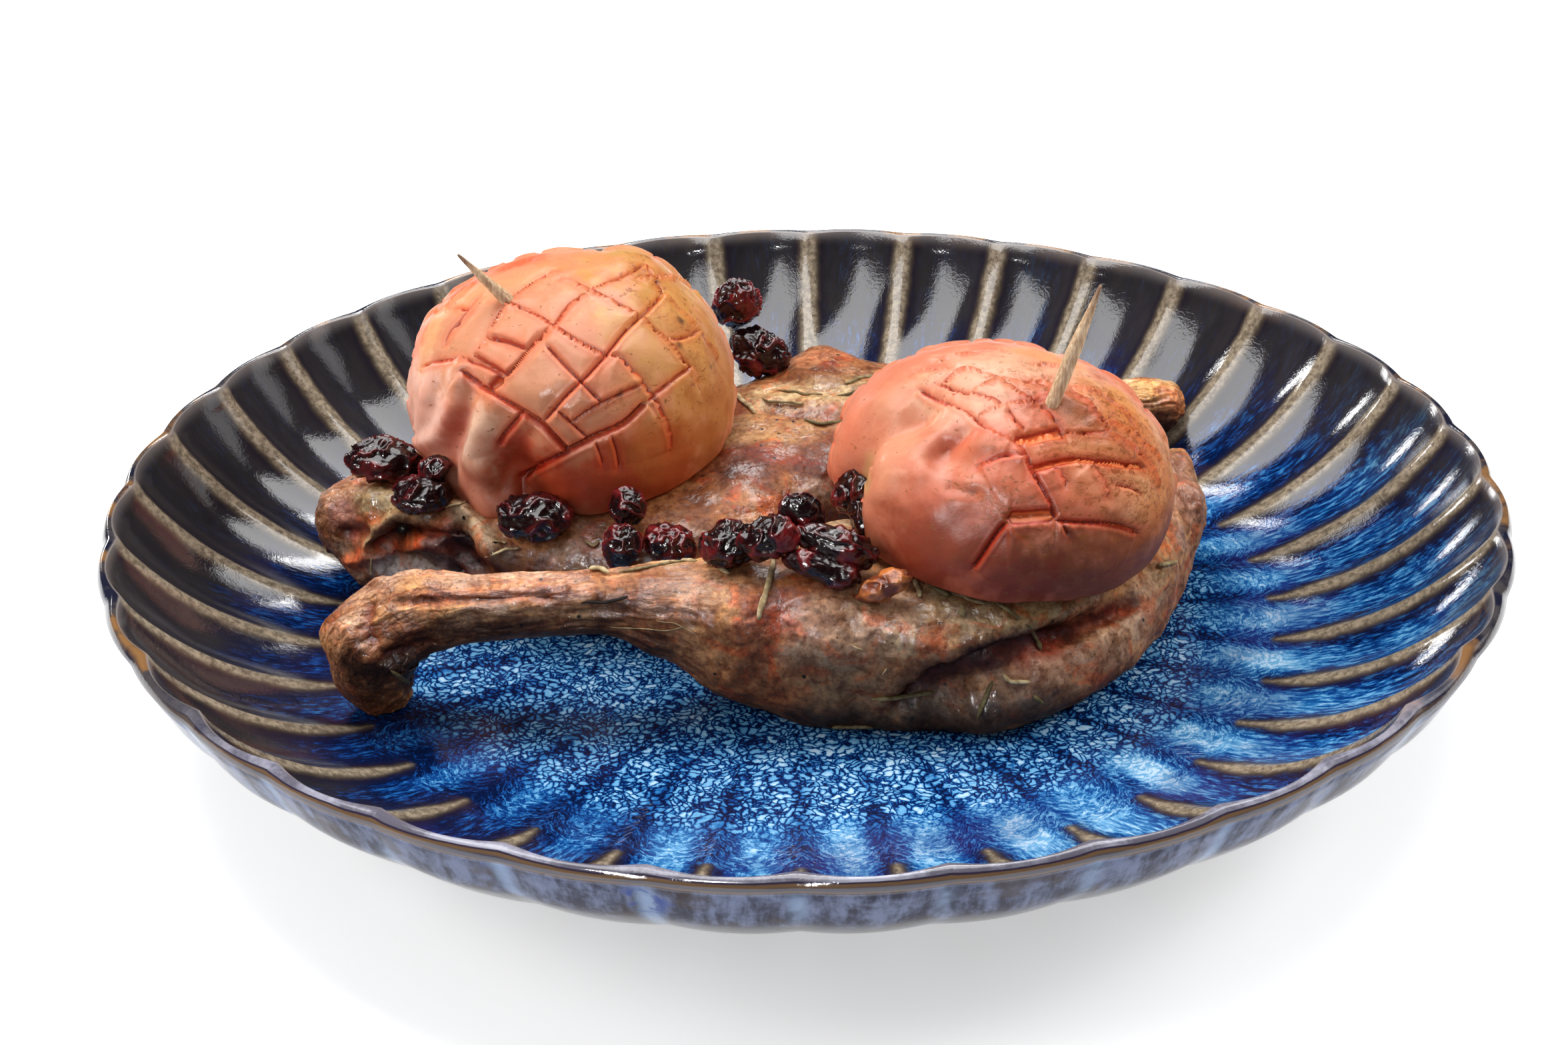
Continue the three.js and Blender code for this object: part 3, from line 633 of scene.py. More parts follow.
SECTION_SQUARENESS = 0.8
FRONT_STATIONS = np.array([
    [-75, -35.5, 11.3, 2, 2, 2],
    [-77.5, -36, 14, 6, 5.5, 5.5],
    [-79.5, -37.5, 20, 8, 7.5, 7.5],
    [-78, -38, 27, 9, 8.5, 8.5],
    [-71, -37.5, 31.2, 7.6, 7.6, 8],
    [-60, -37.5, 32.3, 6, 5.6, 6.3],
    [-49, -37.5, 32.7, 5.3, 5, 5.6],
    [-37, -37, 32.5, 5.6, 5.4, 6],
    [-25, -36, 31, 8.5, 7.4, 9.5],
    [-10, -34.5, 28, 14.5, 10.5, 16.5],
    [5, -29, 26.5, 22, 12.3, 22],
    [22, -26.5, 25.5, 25.5, 12.2, 23],
    [35, -23.5, 25, 28.5, 12, 23],
    [50, -14.5, 24.5, 30, 11.5, 20],
    [60, -7, 24, 28, 11.5, 17],
    [67, -0.5, 24, 25, 11.5, 15],
    [72, 5.5, 24, 20, 10, 13],
    [76, 10, 24, 15, 8, 10],
    [79, 11, 23.5, 8, 4, 5],
])
BACK_STATIONS = np.array([
    [-96, 13, 21, 4, 3, 3],
    [-92, 13, 22.5, 9, 9, 9],
    [-83, 13, 23.5, 15, 12, 14],
    [-69, 14, 23.5, 21, 12.5, 17],
    [-49, 14, 23.5, 28, 12.5, 18],
    [-27, 17.5, 24, 34, 12.5, 18],
    [-7, 27.5, 24.5, 35, 14, 18],
    [11, 38, 25, 28.5, 14, 18],
    [27, 49, 24.5, 18, 11, 15],
    [40, 56, 23.5, 9.5, 8, 9],
    [54, 61, 22, 6, 6, 6],
    [66, 64.5, 21.3, 5.8, 5.8, 5.8],
    [74.5, 66.3, 21.3, 6.8, 6.4, 6],
    [81, 67.2, 21, 6, 5.5, 5.5],
    [84, 67.5, 20.5, 2, 2, 2],
])
# Main bumps and creases: height, width, then the places of their path
FRONT_FORMS = [
    (-4.5, 4.2, [[24, -52, 20], [38, -51, 25], [54, -42, 30], [64, -30, 34]]),
    (2.5, 6, [[32, -51, 15], [48, -46, 17], [60, -34, 19]]),
    (3, 5, [[77, 3, 31]]),
    (3, 5, [[77, 20, 31]]),
    (-3, 4, [[80, 11, 28]]),
    (2, 4, [[-86, -40, 29]]),
    (1.5, 5, [[-79, -45, 30]]),
]
BACK_FORMS = [
    (-5, 3.6, [[-80, -4, 24], [-73, -8, 22]]),
    (-3.5, 3.2, [[-66, -9, 27], [-58, -12, 20]]),
    (2.2, 3.2, [[-70, -6, 33], [-60, -12, 27]]),
    (2.5, 5, [[-93, 8, 28]]),
    (2.5, 4, [[-90, 3, 17]]),
    (7.5, 8, [[3, 59, 36]]),
]


def leg_surface(stations, forms, rows, columns):
    """The leg's smooth form, and each point's place in the same leg laid out straight."""
    t = np.linspace(0.004, 0.996, rows)
    centre = curve_at(stations[:, :3], t)
    step = 1e-4
    tangent = unit(curve_at(stations[:, :3], np.minimum(t + step, 1))
                   - curve_at(stations[:, :3], np.maximum(t - step, 0)))
    side = np.array([0, 1, 0])
    up = unit(np.cross(tangent, side))
    spans = t * (len(stations) - 1)
    index = np.minimum(spans.astype(int), len(stations) - 2)
    w = spans - index
    w = ((smooth(w) + w) / 2)[:, None]
    half, rise, drop = lerp(stations[index, 3:], stations[index + 1, 3:], w).T
    angle = 2 * math.pi * np.arange(columns) / columns
    boxy = lambda v: np.sign(v) * np.abs(v) ** SECTION_SQUARENESS
    across = half[:, None] * boxy(np.cos(angle))
    height = np.where(np.sin(angle) > 0, rise[:, None], drop[:, None]) * boxy(np.sin(angle))
    offset = across[..., None] * side + height[..., None] * up[:, None, :]
    surface = Surface(centre[:, None, :] + offset)
    surface.points = surface.points + unit(offset) * surface.bumps(forms)
    along = np.cumsum(np.linalg.norm(np.diff(centre, axis=0, prepend=centre[:1]), axis=1))
    straight = np.stack(np.broadcast_arrays(along[:, None], across, height), axis=-1)
    rest_on_plate(surface)
    surface.refresh()
    return surface, straight


def rest_on_plate(surface, gap=0.35):
    p = surface.points
    low = ridge_z(np.minimum(np.hypot(p[..., 0], p[..., 1]), RIM_RADIUS)) + gap
    p[..., 2] = np.maximum(p[..., 2], low)


def add_lines(surface, lines):
    """Ridges and creases along pixels: height, width and the pixels they pass."""
    lift = np.zeros(surface.points.shape[:-1])
    for height, width, pixels in lines:
        far, _ = surface.reach(surface.places(pixels))
        lift += height * np.exp(-((far / width) ** 2))
    surface.push(lift)
    return lift


# Fruit halves
SEAT_SHARE = 0.2
CORNER_SHARE = 0.14
HALF_GRID = 300
CUT_REACH = 12
HIDDEN_CUT_SPACING = 9.5
# Overall tone of the baked halves, and the painted shade on their undersides
BAKED_TONE, UNDERSIDE_SHADE_TONE = [0.86, 0.79, 0.71], [0.74, 0.4, 0.32]
HALVES = {
    "left": {
        "radius": 32,
        "height": 33.5,
        "at": [-45.5, 25, 38.7],
        "tilt": [8, -3, 0],
        "forms": [
            (-5.5, 6, [[-6, -31, 1], [-8, -30, 8]]),
            (3, 6, [[-14, -29, 0]]),
            (-2, 6, [[-22, -22, 14]]),
            (1.5, 9, [[-24, 0, 26]]),
            (1.5, 9, [[16, 14, 28]]),
        ],
    },
    "right": {
        "radius": 31.5,
        "height": 26.5,
        "at": [36.3, -14.5, 39.8],
        "tilt": [7, 7, 0],
        "forms": [
            (-6, 6, [[-30, -8, 2], [-26, -7, 14], [-20, -5, 22]]),
            (-2.5, 5, [[-14, -20, 20]]),
            (-1.5, 5, [[-8, -26, 14]]),
        ],
    },
}


def turned(tilt):
    """Turn by degrees about X, then Y, then Z, each in the turned frame."""
    a, b, c = (math.radians(v) for v in tilt)
    x = np.array([[1, 0, 0], [0, math.cos(a), -math.sin(a)], [0, math.sin(a), math.cos(a)]])
    y = np.array([[math.cos(b), 0, math.sin(b)], [0, 1, 0], [-math.sin(b), 0, math.cos(b)]])
    z = np.array([[math.cos(c), -math.sin(c), 0], [math.sin(c), math.cos(c), 0], [0, 0, 1]])
    return x @ y @ z


def dome_surface(fruit, count):
    """An open square grid laid over the dome, near even in spacing."""
    b, a = np.meshgrid(*(np.linspace(-1, 1, count),) * 2, indexing="ij")
    big = np.where(np.abs(a) > np.abs(b), a, b)
    small = np.where(np.abs(a) > np.abs(b), b, a)
    safe = np.where(np.abs(big) < 1e-9, 1e-9, big)
    part = math.pi / 4 * small / safe
    turn = np.where(np.abs(a) > np.abs(b), part, math.pi / 2 - part)
    polar = math.acos(-SEAT_SHARE / (1 - SEAT_SHARE)) * np.abs(big)
    flip = np.where(big < 0, -1, 1)
    out = np.stack([flip * np.sin(polar) * np.cos(turn), flip * np.sin(polar) * np.sin(turn),
                    np.cos(polar)], axis=-1)
    seat = fruit["height"] * SEAT_SHARE
    square = 1 + CORNER_SHARE * (out[..., 2] * np.hypot(out[..., 0], out[..., 1])) ** 2
    size = np.array([fruit["radius"], fruit["radius"], fruit["height"] - seat])
    surface = Surface(square[..., None] * out * size + [0, 0, seat], closed=False)
    surface.points = surface.points + out * surface.bumps(fruit["forms"])
    surface.points = surface.points @ turned(fruit["tilt"]).T + fruit["at"]
    surface.refresh()
    return surface


def score(surface, cuts):
    """Knife cuts: width, depth, lift of one side, and the pixels they pass.

    Gives each point's distance from the edge of the nearest cut, below 0 inside it."""
    lift = np.zeros(surface.points.shape[:-1])
    beyond = np.full_like(lift, 9.0)
    pixels_of = to_photo(surface.points)
    for width, depth, lip, pixels in cuts:
        path = surface.places(pixels)
        for _ in range(3):
            path[1:-1] = (path[:-2] + 2 * path[1:-1] + path[2:]) / 4
        far, near = surface.reach(path, CUT_REACH)
        ends = np.minimum(np.linalg.norm(near - path[0], axis=-1),
                          np.linalg.norm(near - path[-1], axis=-1))
        taper = np.where(np.isfinite(far), smooth(ends / 0.9), 0)
        far = np.minimum(far, CUT_REACH)
        pull = np.exp(-((far / 0.26) ** 4)) * 0.85
        surface.points = surface.points + (near - surface.points) * pull[..., None]
        half = width / 2 * (0.35 + 0.65 * taper)
        inside = np.clip(1 - far / (half + 0.1), 0, 1)
        lift -= 0.8 * depth * inside**0.7 * (0.3 + 0.7 * taper)
        lift += 0.16 * np.exp(-(((far - half - 0.6) / 0.45) ** 2)) * taper
        start, end = np.array(pixels[:2], float), np.array(pixels[-2:], float)
        run = (end - start) / np.linalg.norm(end - start)
        gap = pixels_of - to_photo(near)
        below = run[0] * gap[..., 1] - run[1] * gap[..., 0] > 0
        if run[0] < 0:
            below = ~below
        side = below if lip > 0 else ~below
        lift += 1.5 * abs(lip) * np.exp(-far / 3.0) * taper * side
        beyond = np.minimum(beyond, far - half + (1 - taper) * 0.5)
    surface.push(lift + 0.85 * (1 - np.exp(-np.maximum(beyond, 0) / 1.5)) - 0.4)
    surface.refresh()
    return beyond


def score_hidden(surface, beyond, spacing, seed):
    """The same crossing cuts on the side that the photograph doesn't show."""
    p = surface.points
    seen = np.einsum("ijk,ijk->ij", surface.normals, unit(EYE - p))
    share = smooth((0.02 - seen) / 0.2) * smooth((p[..., 2] - p[..., 2].min() - 7) / 4)
    wobble = noise(p, 11, seed, 2) * 1.6
    lift = np.zeros_like(share)
    for k, across in enumerate(((0.71, 0.25, 0.66), (-0.71, 0.2, 0.68))):
        across = unit(np.array(across))
        at = (p @ across + wobble * (1 - 2 * k)) / spacing
        far = (at - np.round(at)) * spacing
        pull = np.exp(-((far / 0.26) ** 4)) * 0.8 * share
        surface.points = surface.points - across * (far * pull)[..., None]
        far = np.abs(far)
        lift -= np.clip(1 - far / 0.5, 0, 1) ** 0.6 * share
        lift += 0.6 * (1 - np.exp(-far / 1.5)) * share
        beyond = np.minimum(beyond, far - 0.2 + (1 - share) * 2)
    surface.push(lift)
    surface.refresh()
    return beyond


def add_half(name, surface, values):
    """The dome's grid with a hidden flat underside closed onto its edge."""
    count = surface.points.shape[0]
    faces = grid_faces(count, count, closed=False).tolist()
    index = np.arange(count * count).reshape(count, count)
    edge = np.concatenate([index[0, :-1], index[:-1, -1], index[-1, :0:-1], index[:0:-1, 0]])
    flat = surface.points.reshape(-1, 3)
    middle = flat[edge].mean(axis=0)
    inner = lerp(flat[edge], middle, 0.06) + [0, 0, 0.5]
    first = len(flat)
    flat = np.vstack([flat, inner, middle + [0, 0, 0.5]])
    n = len(edge)
    for k in range(n):
        after = (k + 1) % n
        faces.append((edge[after], edge[k], first + k, first + after))
        faces.append((first + after, first + k, first + n))
    grown = {}
    for key, value in values.items():
        value = np.asarray(value).reshape(count * count, -1)
        pad = np.repeat(value[edge].mean(axis=0)[None], n + 1, axis=0)
        grown[key] = np.vstack([value, pad])
    return add_mesh(name, flat, faces, grown)


# Cuts that show: width, depth, lift of one side and the pixels they pass
LEFT_CUTS = [
    (0.5, 1.0, 0.4, [633, 551, 660, 542, 686, 540, 709, 541, 733, 551, 756, 567]),
    (0.9, 1.6, 0.7, [693, 556, 709, 569, 733, 586, 759, 602, 786, 618, 812, 633, 832, 654, 853,
        676]),
    (1.6, 1.4, 0.0, [756, 566, 743, 575, 733, 586]),
    (0.5, 1.1, 0.3, [756, 567, 770, 559, 789, 533, 806, 514, 829, 495, 845, 469, 860, 454, 882,
        441]),
    (0.5, 1.0, 0.3, [882, 441, 902, 430, 922, 421, 948, 410, 968, 397]),
    (0.6, 1.1, 0.4, [840, 420, 862, 426, 882, 440, 905, 448, 932, 459, 958, 478]),
    (0.5, 1.2, 0.4, [991, 445, 975, 466, 958, 478, 932, 503, 912, 532, 885, 562, 870, 576, 852,
        590, 835, 613, 816, 632]),
    (0.6, 1.2, 0.5, [829, 495, 849, 503, 872, 518, 892, 529, 910, 534]),
    (0.5, 1.1, 0.4, [819, 519, 832, 532, 845, 549, 864, 566, 875, 579, 889, 593, 902, 604]),
    (0.3, 0.7, -0.5, [857, 632, 865, 625, 885, 611, 903, 603, 918, 596, 935, 588, 961, 576]),
    (0.4, 0.8, 0.3, [835, 614, 852, 629, 865, 642, 882, 656]),
    (1.0, 1.7, 0.7, [786, 715, 802, 703, 829, 688, 853, 675, 882, 659, 912, 646, 945, 633, 952,
        617, 968, 604]),
    (0.5, 1.1, 0.4, [927, 536, 945, 555, 961, 576, 976, 593, 991, 615, 1001, 645, 1005, 675]),
    (0.5, 1.0, 0.3, [968, 604, 976, 593, 998, 581, 1018, 562, 1033, 551]),
    (0.5, 1.0, 0.3, [958, 478, 981, 498, 1000, 511, 1013, 531, 1033, 551, 1046, 572]),
    (0.5, 0.9, 0.3, [991, 445, 1011, 460, 1031, 479, 1046, 498, 1064, 518, 1074, 539]),
    (0.9, 1.1, 0.3, [957, 420, 978, 422, 998, 415, 1028, 424]),
    (0.4, 0.9, 0.3, [759, 457, 779, 444, 799, 427, 814, 416, 837, 406]),
    (2.4, 1.0, 0.0, [764, 403, 779, 397, 794, 391]),
    (2.4, 1.0, 0.0, [671, 459, 688, 443, 708, 425]),
    (0.5, 1.0, 0.4, [759, 458, 786, 463, 806, 474, 829, 492]),
    (0.4, 0.9, 0.3, [759, 457, 751, 469, 744, 486, 735, 508]),
    (0.5, 1.0, -0.6, [735, 508, 756, 512, 776, 516, 792, 524]),
    (0.4, 0.9, 0.3, [735, 508, 723, 519, 713, 533]),
    (0.5, 1.0, -0.6, [713, 533, 733, 546, 746, 553, 766, 563]),
    (0.7, 0.8, 0.2, [720, 445, 703, 473, 677, 497, 670, 516]),
    (0.5, 0.7, 0.2, [660, 466, 683, 462, 709, 466]),
    (0.8, 1.0, 0.5, [789, 617, 772, 635, 756, 652, 746, 670]),
    (0.25, 0.5, 0.2, [891, 659, 900, 678, 905, 698]),
    (0.25, 0.5, 0.2, [915, 652, 925, 675, 929, 703]),
    (0.5, 0.9, 0.3, [910, 534, 928, 536]),
    (0.4, 0.7, 0.2, [1046, 498, 1028, 509, 1000, 511]),
    (0.4, 0.7, 0.2, [968, 397, 991, 445]),
]
RIGHT_CUTS = [
    (0.6, 1.1, 0.5, [1378, 584, 1395, 596, 1412, 604, 1433, 614, 1453, 621, 1466, 632, 1480,
        646, 1497, 655, 1520, 661]),
    (0.4, 0.8, 0.3, [1412, 604, 1424, 595, 1439, 592]),
    (0.5, 1.0, 0.4, [1407, 576, 1433, 589, 1456, 593, 1475, 596, 1493, 606, 1510, 618, 1520,
        630, 1537, 647]),
    (0.4, 0.6, 0.2, [1375, 558, 1395, 554, 1419, 554]),
    (0.5, 1.0, 0.4, [1412, 579, 1424, 567, 1444, 553, 1470, 559, 1487, 567, 1500, 575, 1520,
        586, 1544, 602, 1556, 608]),
    (0.3, 0.7, 0.3, [1456, 593, 1471, 582, 1487, 575, 1500, 574]),
    (0.4, 0.9, 0.3, [1466, 629, 1480, 617, 1495, 613, 1510, 618]),
    (0.3, 0.8, 0.3, [1507, 612, 1524, 606, 1544, 606, 1556, 609]),
    (0.6, 0.9, 0.2, [1549, 605, 1561, 599, 1573, 591]),
    (0.5, 1.0, 0.4, [1556, 608, 1573, 619, 1585, 634, 1594, 649]),
    (2.6, 1.6, 0.5, [1520, 661, 1541, 661, 1554, 656, 1574, 652, 1595, 649]),
    (0.6, 1.1, 0.5, [1595, 649, 1615, 650, 1639, 651, 1662, 655, 1683, 664, 1705, 679]),
    (1.6, 1.6, 0.6, [1543, 705, 1564, 699, 1588, 693, 1615, 689, 1642, 692, 1666, 695, 1689,
        699, 1715, 703]),
    (0.4, 0.8, 0.5, [1466, 705, 1480, 696, 1500, 686, 1520, 682, 1537, 686]),
    (0.7, 1.3, 0.5, [1520, 661, 1531, 676, 1541, 693, 1547, 709, 1558, 726, 1568, 743, 1576,
        758, 1583, 780]),
    (0.4, 1.0, 0.4, [1578, 699, 1588, 709, 1594, 720, 1597, 734]),
    (0.4, 1.0, 0.4, [1632, 698, 1642, 709, 1652, 724, 1659, 737, 1662, 748]),
    (0.6, 1.2, 0.6, [1458, 855, 1471, 839, 1487, 814, 1498, 797, 1510, 783]),
    (2.4, 1.7, 0.7, [1510, 777, 1537, 776, 1561, 772, 1583, 774]),
    (0.7, 1.2, 0.5, [1583, 780, 1605, 784, 1632, 784, 1656, 786, 1679, 791, 1705, 799]),
    (0.4, 0.8, 0.3, [1591, 784, 1598, 794, 1603, 806]),
    (0.8, 0.9, 0.3, [1602, 588, 1618, 599, 1635, 609, 1646, 622]),
    (0.4, 0.8, 0.3, [1605, 584, 1629, 586, 1651, 591]),
    (0.5, 0.9, 0.3, [1649, 629, 1669, 636, 1689, 646, 1705, 659, 1723, 672, 1737, 689]),
    (0.6, 0.7, 0.2, [1554, 548, 1574, 552, 1591, 548]),
    (0.3, 0.6, 0.2, [1487, 568, 1517, 572, 1547, 574, 1576, 576]),
    (0.8, 0.8, 0.2, [1409, 542, 1439, 534, 1466, 530, 1492, 524, 1504, 528]),
    (0.4, 0.8, 0.3, [1705, 679, 1720, 694, 1730, 713, 1737, 733]),
    (0.4, 0.7, 0.3, [1662, 655, 1656, 638, 1646, 622]),
    (0.3, 0.6, 0.2, [1669, 726, 1689, 730, 1710, 740]),
    (0.3, 0.6, 0.2, [1651, 591, 1669, 605, 1686, 615, 1700, 635, 1705, 659]),
]
# Ridges and dents of their skin: height, width and the pixels they pass
LEFT_LINES = [
    (1.3, 2.0, [690, 559, 687, 602, 662, 652, 638, 668]),
    (-1.3, 2.6, [706, 592, 694, 650, 676, 705]),
    (1.0, 2.4, [742, 606, 716, 650, 704, 690, 735, 716]),
    (-1.4, 3.0, [790, 655, 768, 700, 750, 730]),
    (0.8, 3.0, [640, 600, 632, 640]),
    (-0.8, 2.0, [655, 585, 650, 610]),
    (-1.5, 1.2, [786, 720, 788, 742]),
]
RIGHT_LINES = [
    (-2.0, 2.6, [1422, 668, 1445, 656]),
    (-1.0, 2.4, [1404, 690, 1420, 684]),
    (0.7, 2.6, [1385, 712, 1420, 722, 1452, 732]),
    (-0.9, 1.2, [1428, 735, 1462, 740]),
    (0.9, 3.0, [1345, 620, 1330, 680, 1330, 740]),
    (1.0, 2.5, [1466, 660, 1500, 668, 1525, 682]),
    (1.2, 1.8, [1585, 598, 1610, 612, 1640, 628]),
    (0.9, 1.2, [1578, 592, 1592, 592]),
]


def build_half(side, cuts, lines, base, dabs, spots, seed):
    surface = dome_surface(HALVES[side], HALF_GRID)
    p = surface.points
    lumps = noise(p, 15, seed, 3) * 0.5 + noise(p, 5, seed + 3, 2) * 0.14
    surface.push(lumps)
    surface.refresh()
    add_lines(surface, lines)
    surface.refresh()
    colour = paint(surface, base, dabs, seed)
    colour = colour * BAKED_TONE
    # Painted shade: downward-facing parts of the half are darkened and reddened
    low = smooth(0.4 - surface.normals[..., 2] * 1.6)
    colour = lerp(colour, colour * UNDERSIDE_SHADE_TONE, 0.8 * low[..., None])
    freckles = paint(surface, (0, 0, 0), spots, seed + 1)[..., 0]
    beyond = score(surface, cuts)
    beyond = score_hidden(surface, beyond, HIDDEN_CUT_SPACING, seed)
    values = {"cut": beyond, "paint": colour, "freckles": freckles}
    return add_half("fruit_half_" + side + "_flesh", surface, values)


def baked_fruit_material():
    s = Shader("baked_fruit")
    place = s.place()
    cut = s.value("cut")
    freckles = s.value("freckles")
    colour = s.colour("paint")
    blotch = s.noise(place, 95.0, 5.0, 0.6)
    colour = s.tint(s.band(blotch, 0.4, 0.7) * 0.6, colour, (0.98, 0.72, 0.6))
    veins = s.noise(s.moved(place, 0.012, place, 160.0, 3.0), 190.0, 5.0, 0.65)
    colour = s.tint(s.band(veins, 0.52, 0.68) * 0.5, colour, (1.12, 1.3, 1.35))

    # Short brown dashes, which grow into a net where there are many
    stretched = s.scaled(s.moved(place, 0.0016, place, 420.0, 2.0), (1.0, 1.0, 2.1))
    dash = s.noise(stretched, 600.0, 3.0, 0.6)
    many = freckles * 0.11
    web = s.noise(s.moved(stretched, 0.001, place, 900.0, 2.0), 420.0, 5.0, 0.62)
    web = s.band(s.math("ABSOLUTE", web - 0.5), 0.034, 0.008)
    web = web * s.band(s.noise(place, 170.0, 3.0) + freckles * 0.3, 0.6, 0.78)
    dash = s.band(dash + many + s.noise(place, 60.0, 2.0) * 0.12, 0.72, 0.77)
    dash = s.math("MAXIMUM", dash, web * 0.75)
    colour = s.mix(dash * 0.8, colour, (0.32, 0.1, 0.025))
    stain = s.band(veins + freckles * 0.35, 0.62, 0.86) * 0.55
    colour = s.tint(stain, colour, (0.72, 0.48, 0.3))

    # Cuts: a flush beside them, a painted highlight along their edges, a dark line that is partly
    # painted shade in the groove, and orange flesh where they gape
    ragged = cut + (s.noise(place, 900.0, 3.0) - 0.5) * 0.35
    colour = s.tint(s.band(ragged, 2.2, 0.0) * 0.5, colour, (1.0, 0.42, 0.34))
    cut_edge_highlight = s.band(ragged, 0.9, 0.5) * s.band(ragged, 0.2, 0.45)
    colour = s.tint(cut_edge_highlight * 0.3, colour, (1.2, 1.35, 1.35))
    colour = s.tint(s.band(ragged, 0.2, -0.02) * 0.8, colour, (0.66, 0.18, 0.13))
    flesh = s.mix(s.noise(place, 500.0, 4.0), (0.72, 0.1, 0.025), (0.8, 0.26, 0.08))
    colour = s.mix(s.band(ragged, -0.2, -0.55), colour, flesh)
    grain = s.noise(place, 1700.0, 3.0)
    height = grain * 0.25 + (s.noise(place, 330.0, 4.0) + dash * 0.12)
    relief = s.bump(height, 0.0003, 0.4)
    rough = s.band(blotch, 0.3, 0.7) * 0.2 + 0.3
    return s.finish(Base_Color=colour, Roughness=rough, Specular_IOR_Level=0.24, Normal=relief,
                    Subsurface_Weight=0.14, Subsurface_Radius=(0.003, 0.001, 0.0006),
                    Subsurface_Scale=1.0)


# Legs' looks
def build_leg(name, stations, forms, lines, base, dabs, seed, rows, columns):
    surface, straight = leg_surface(stations, forms, rows, columns)
    lift = add_lines(surface, lines)
    surface.refresh()
    p = surface.points
    half = np.abs(straight[..., 1]).max(axis=1, keepdims=True)
    slim = smooth((13 - half) / 5) * np.ones(columns)
    broad = noise(p, 12, seed, 3) * 0.45
    fibre = noise(straight + noise(p, 9, seed + 1, 2)[..., None] * 1.5, (22, 1.7, 1.7), seed + 5, 4)
    wrinkle = ridged(p + noise(p, 5, seed + 2, 2)[..., None] * 2, 4.2, seed + 7, 3)
    pucker = ridged(p + noise(p, 3, seed + 4, 2)[..., None] * 1.5, 2.2, seed + 11, 2) - 0.5
    surface.push(broad + fibre * lerp(0.12, 0.4, slim) + (wrinkle - 0.5) * lerp(0.3, 0.1, slim)
                 + pucker * lerp(0.14, 0.05, slim))
    rest_on_plate(surface)
    surface.refresh()
    colour = paint(surface, base, dabs, seed)
    # Painted light and shade: upward-facing parts are lightened, most on the slim shank, and low
    # and downward-facing parts are darkened
    upper = smooth(surface.normals[..., 2] * 1.3 - 0.25)
    underside_shade = smooth(-0.1 - surface.normals[..., 2] * 1.2)
    colour = colour * (1 + (upper * lerp(0.45, 0.62, slim))[..., None])
    # Painted shade in the creases
    crease_shade = smooth(-lift / 1.6)
    low_side_shade = smooth(0.3 - surface.normals[..., 2] * 1.4)
    colour = lerp(colour, colour * [0.62, 0.44, 0.36], 0.8 * low_side_shade[..., None])
    colour = colour * (1 - underside_shade * 0.5)[..., None]
    colour = lerp(colour, colour * [0.5, 0.25, 0.2], crease_shade[..., None])
    values = {"paint": colour, "straight": straight * MM, "slim": slim,
              "upper": smooth(surface.normals[..., 2] * 1.6 + 0.1)}
    return add_grid(name, surface, values), surface


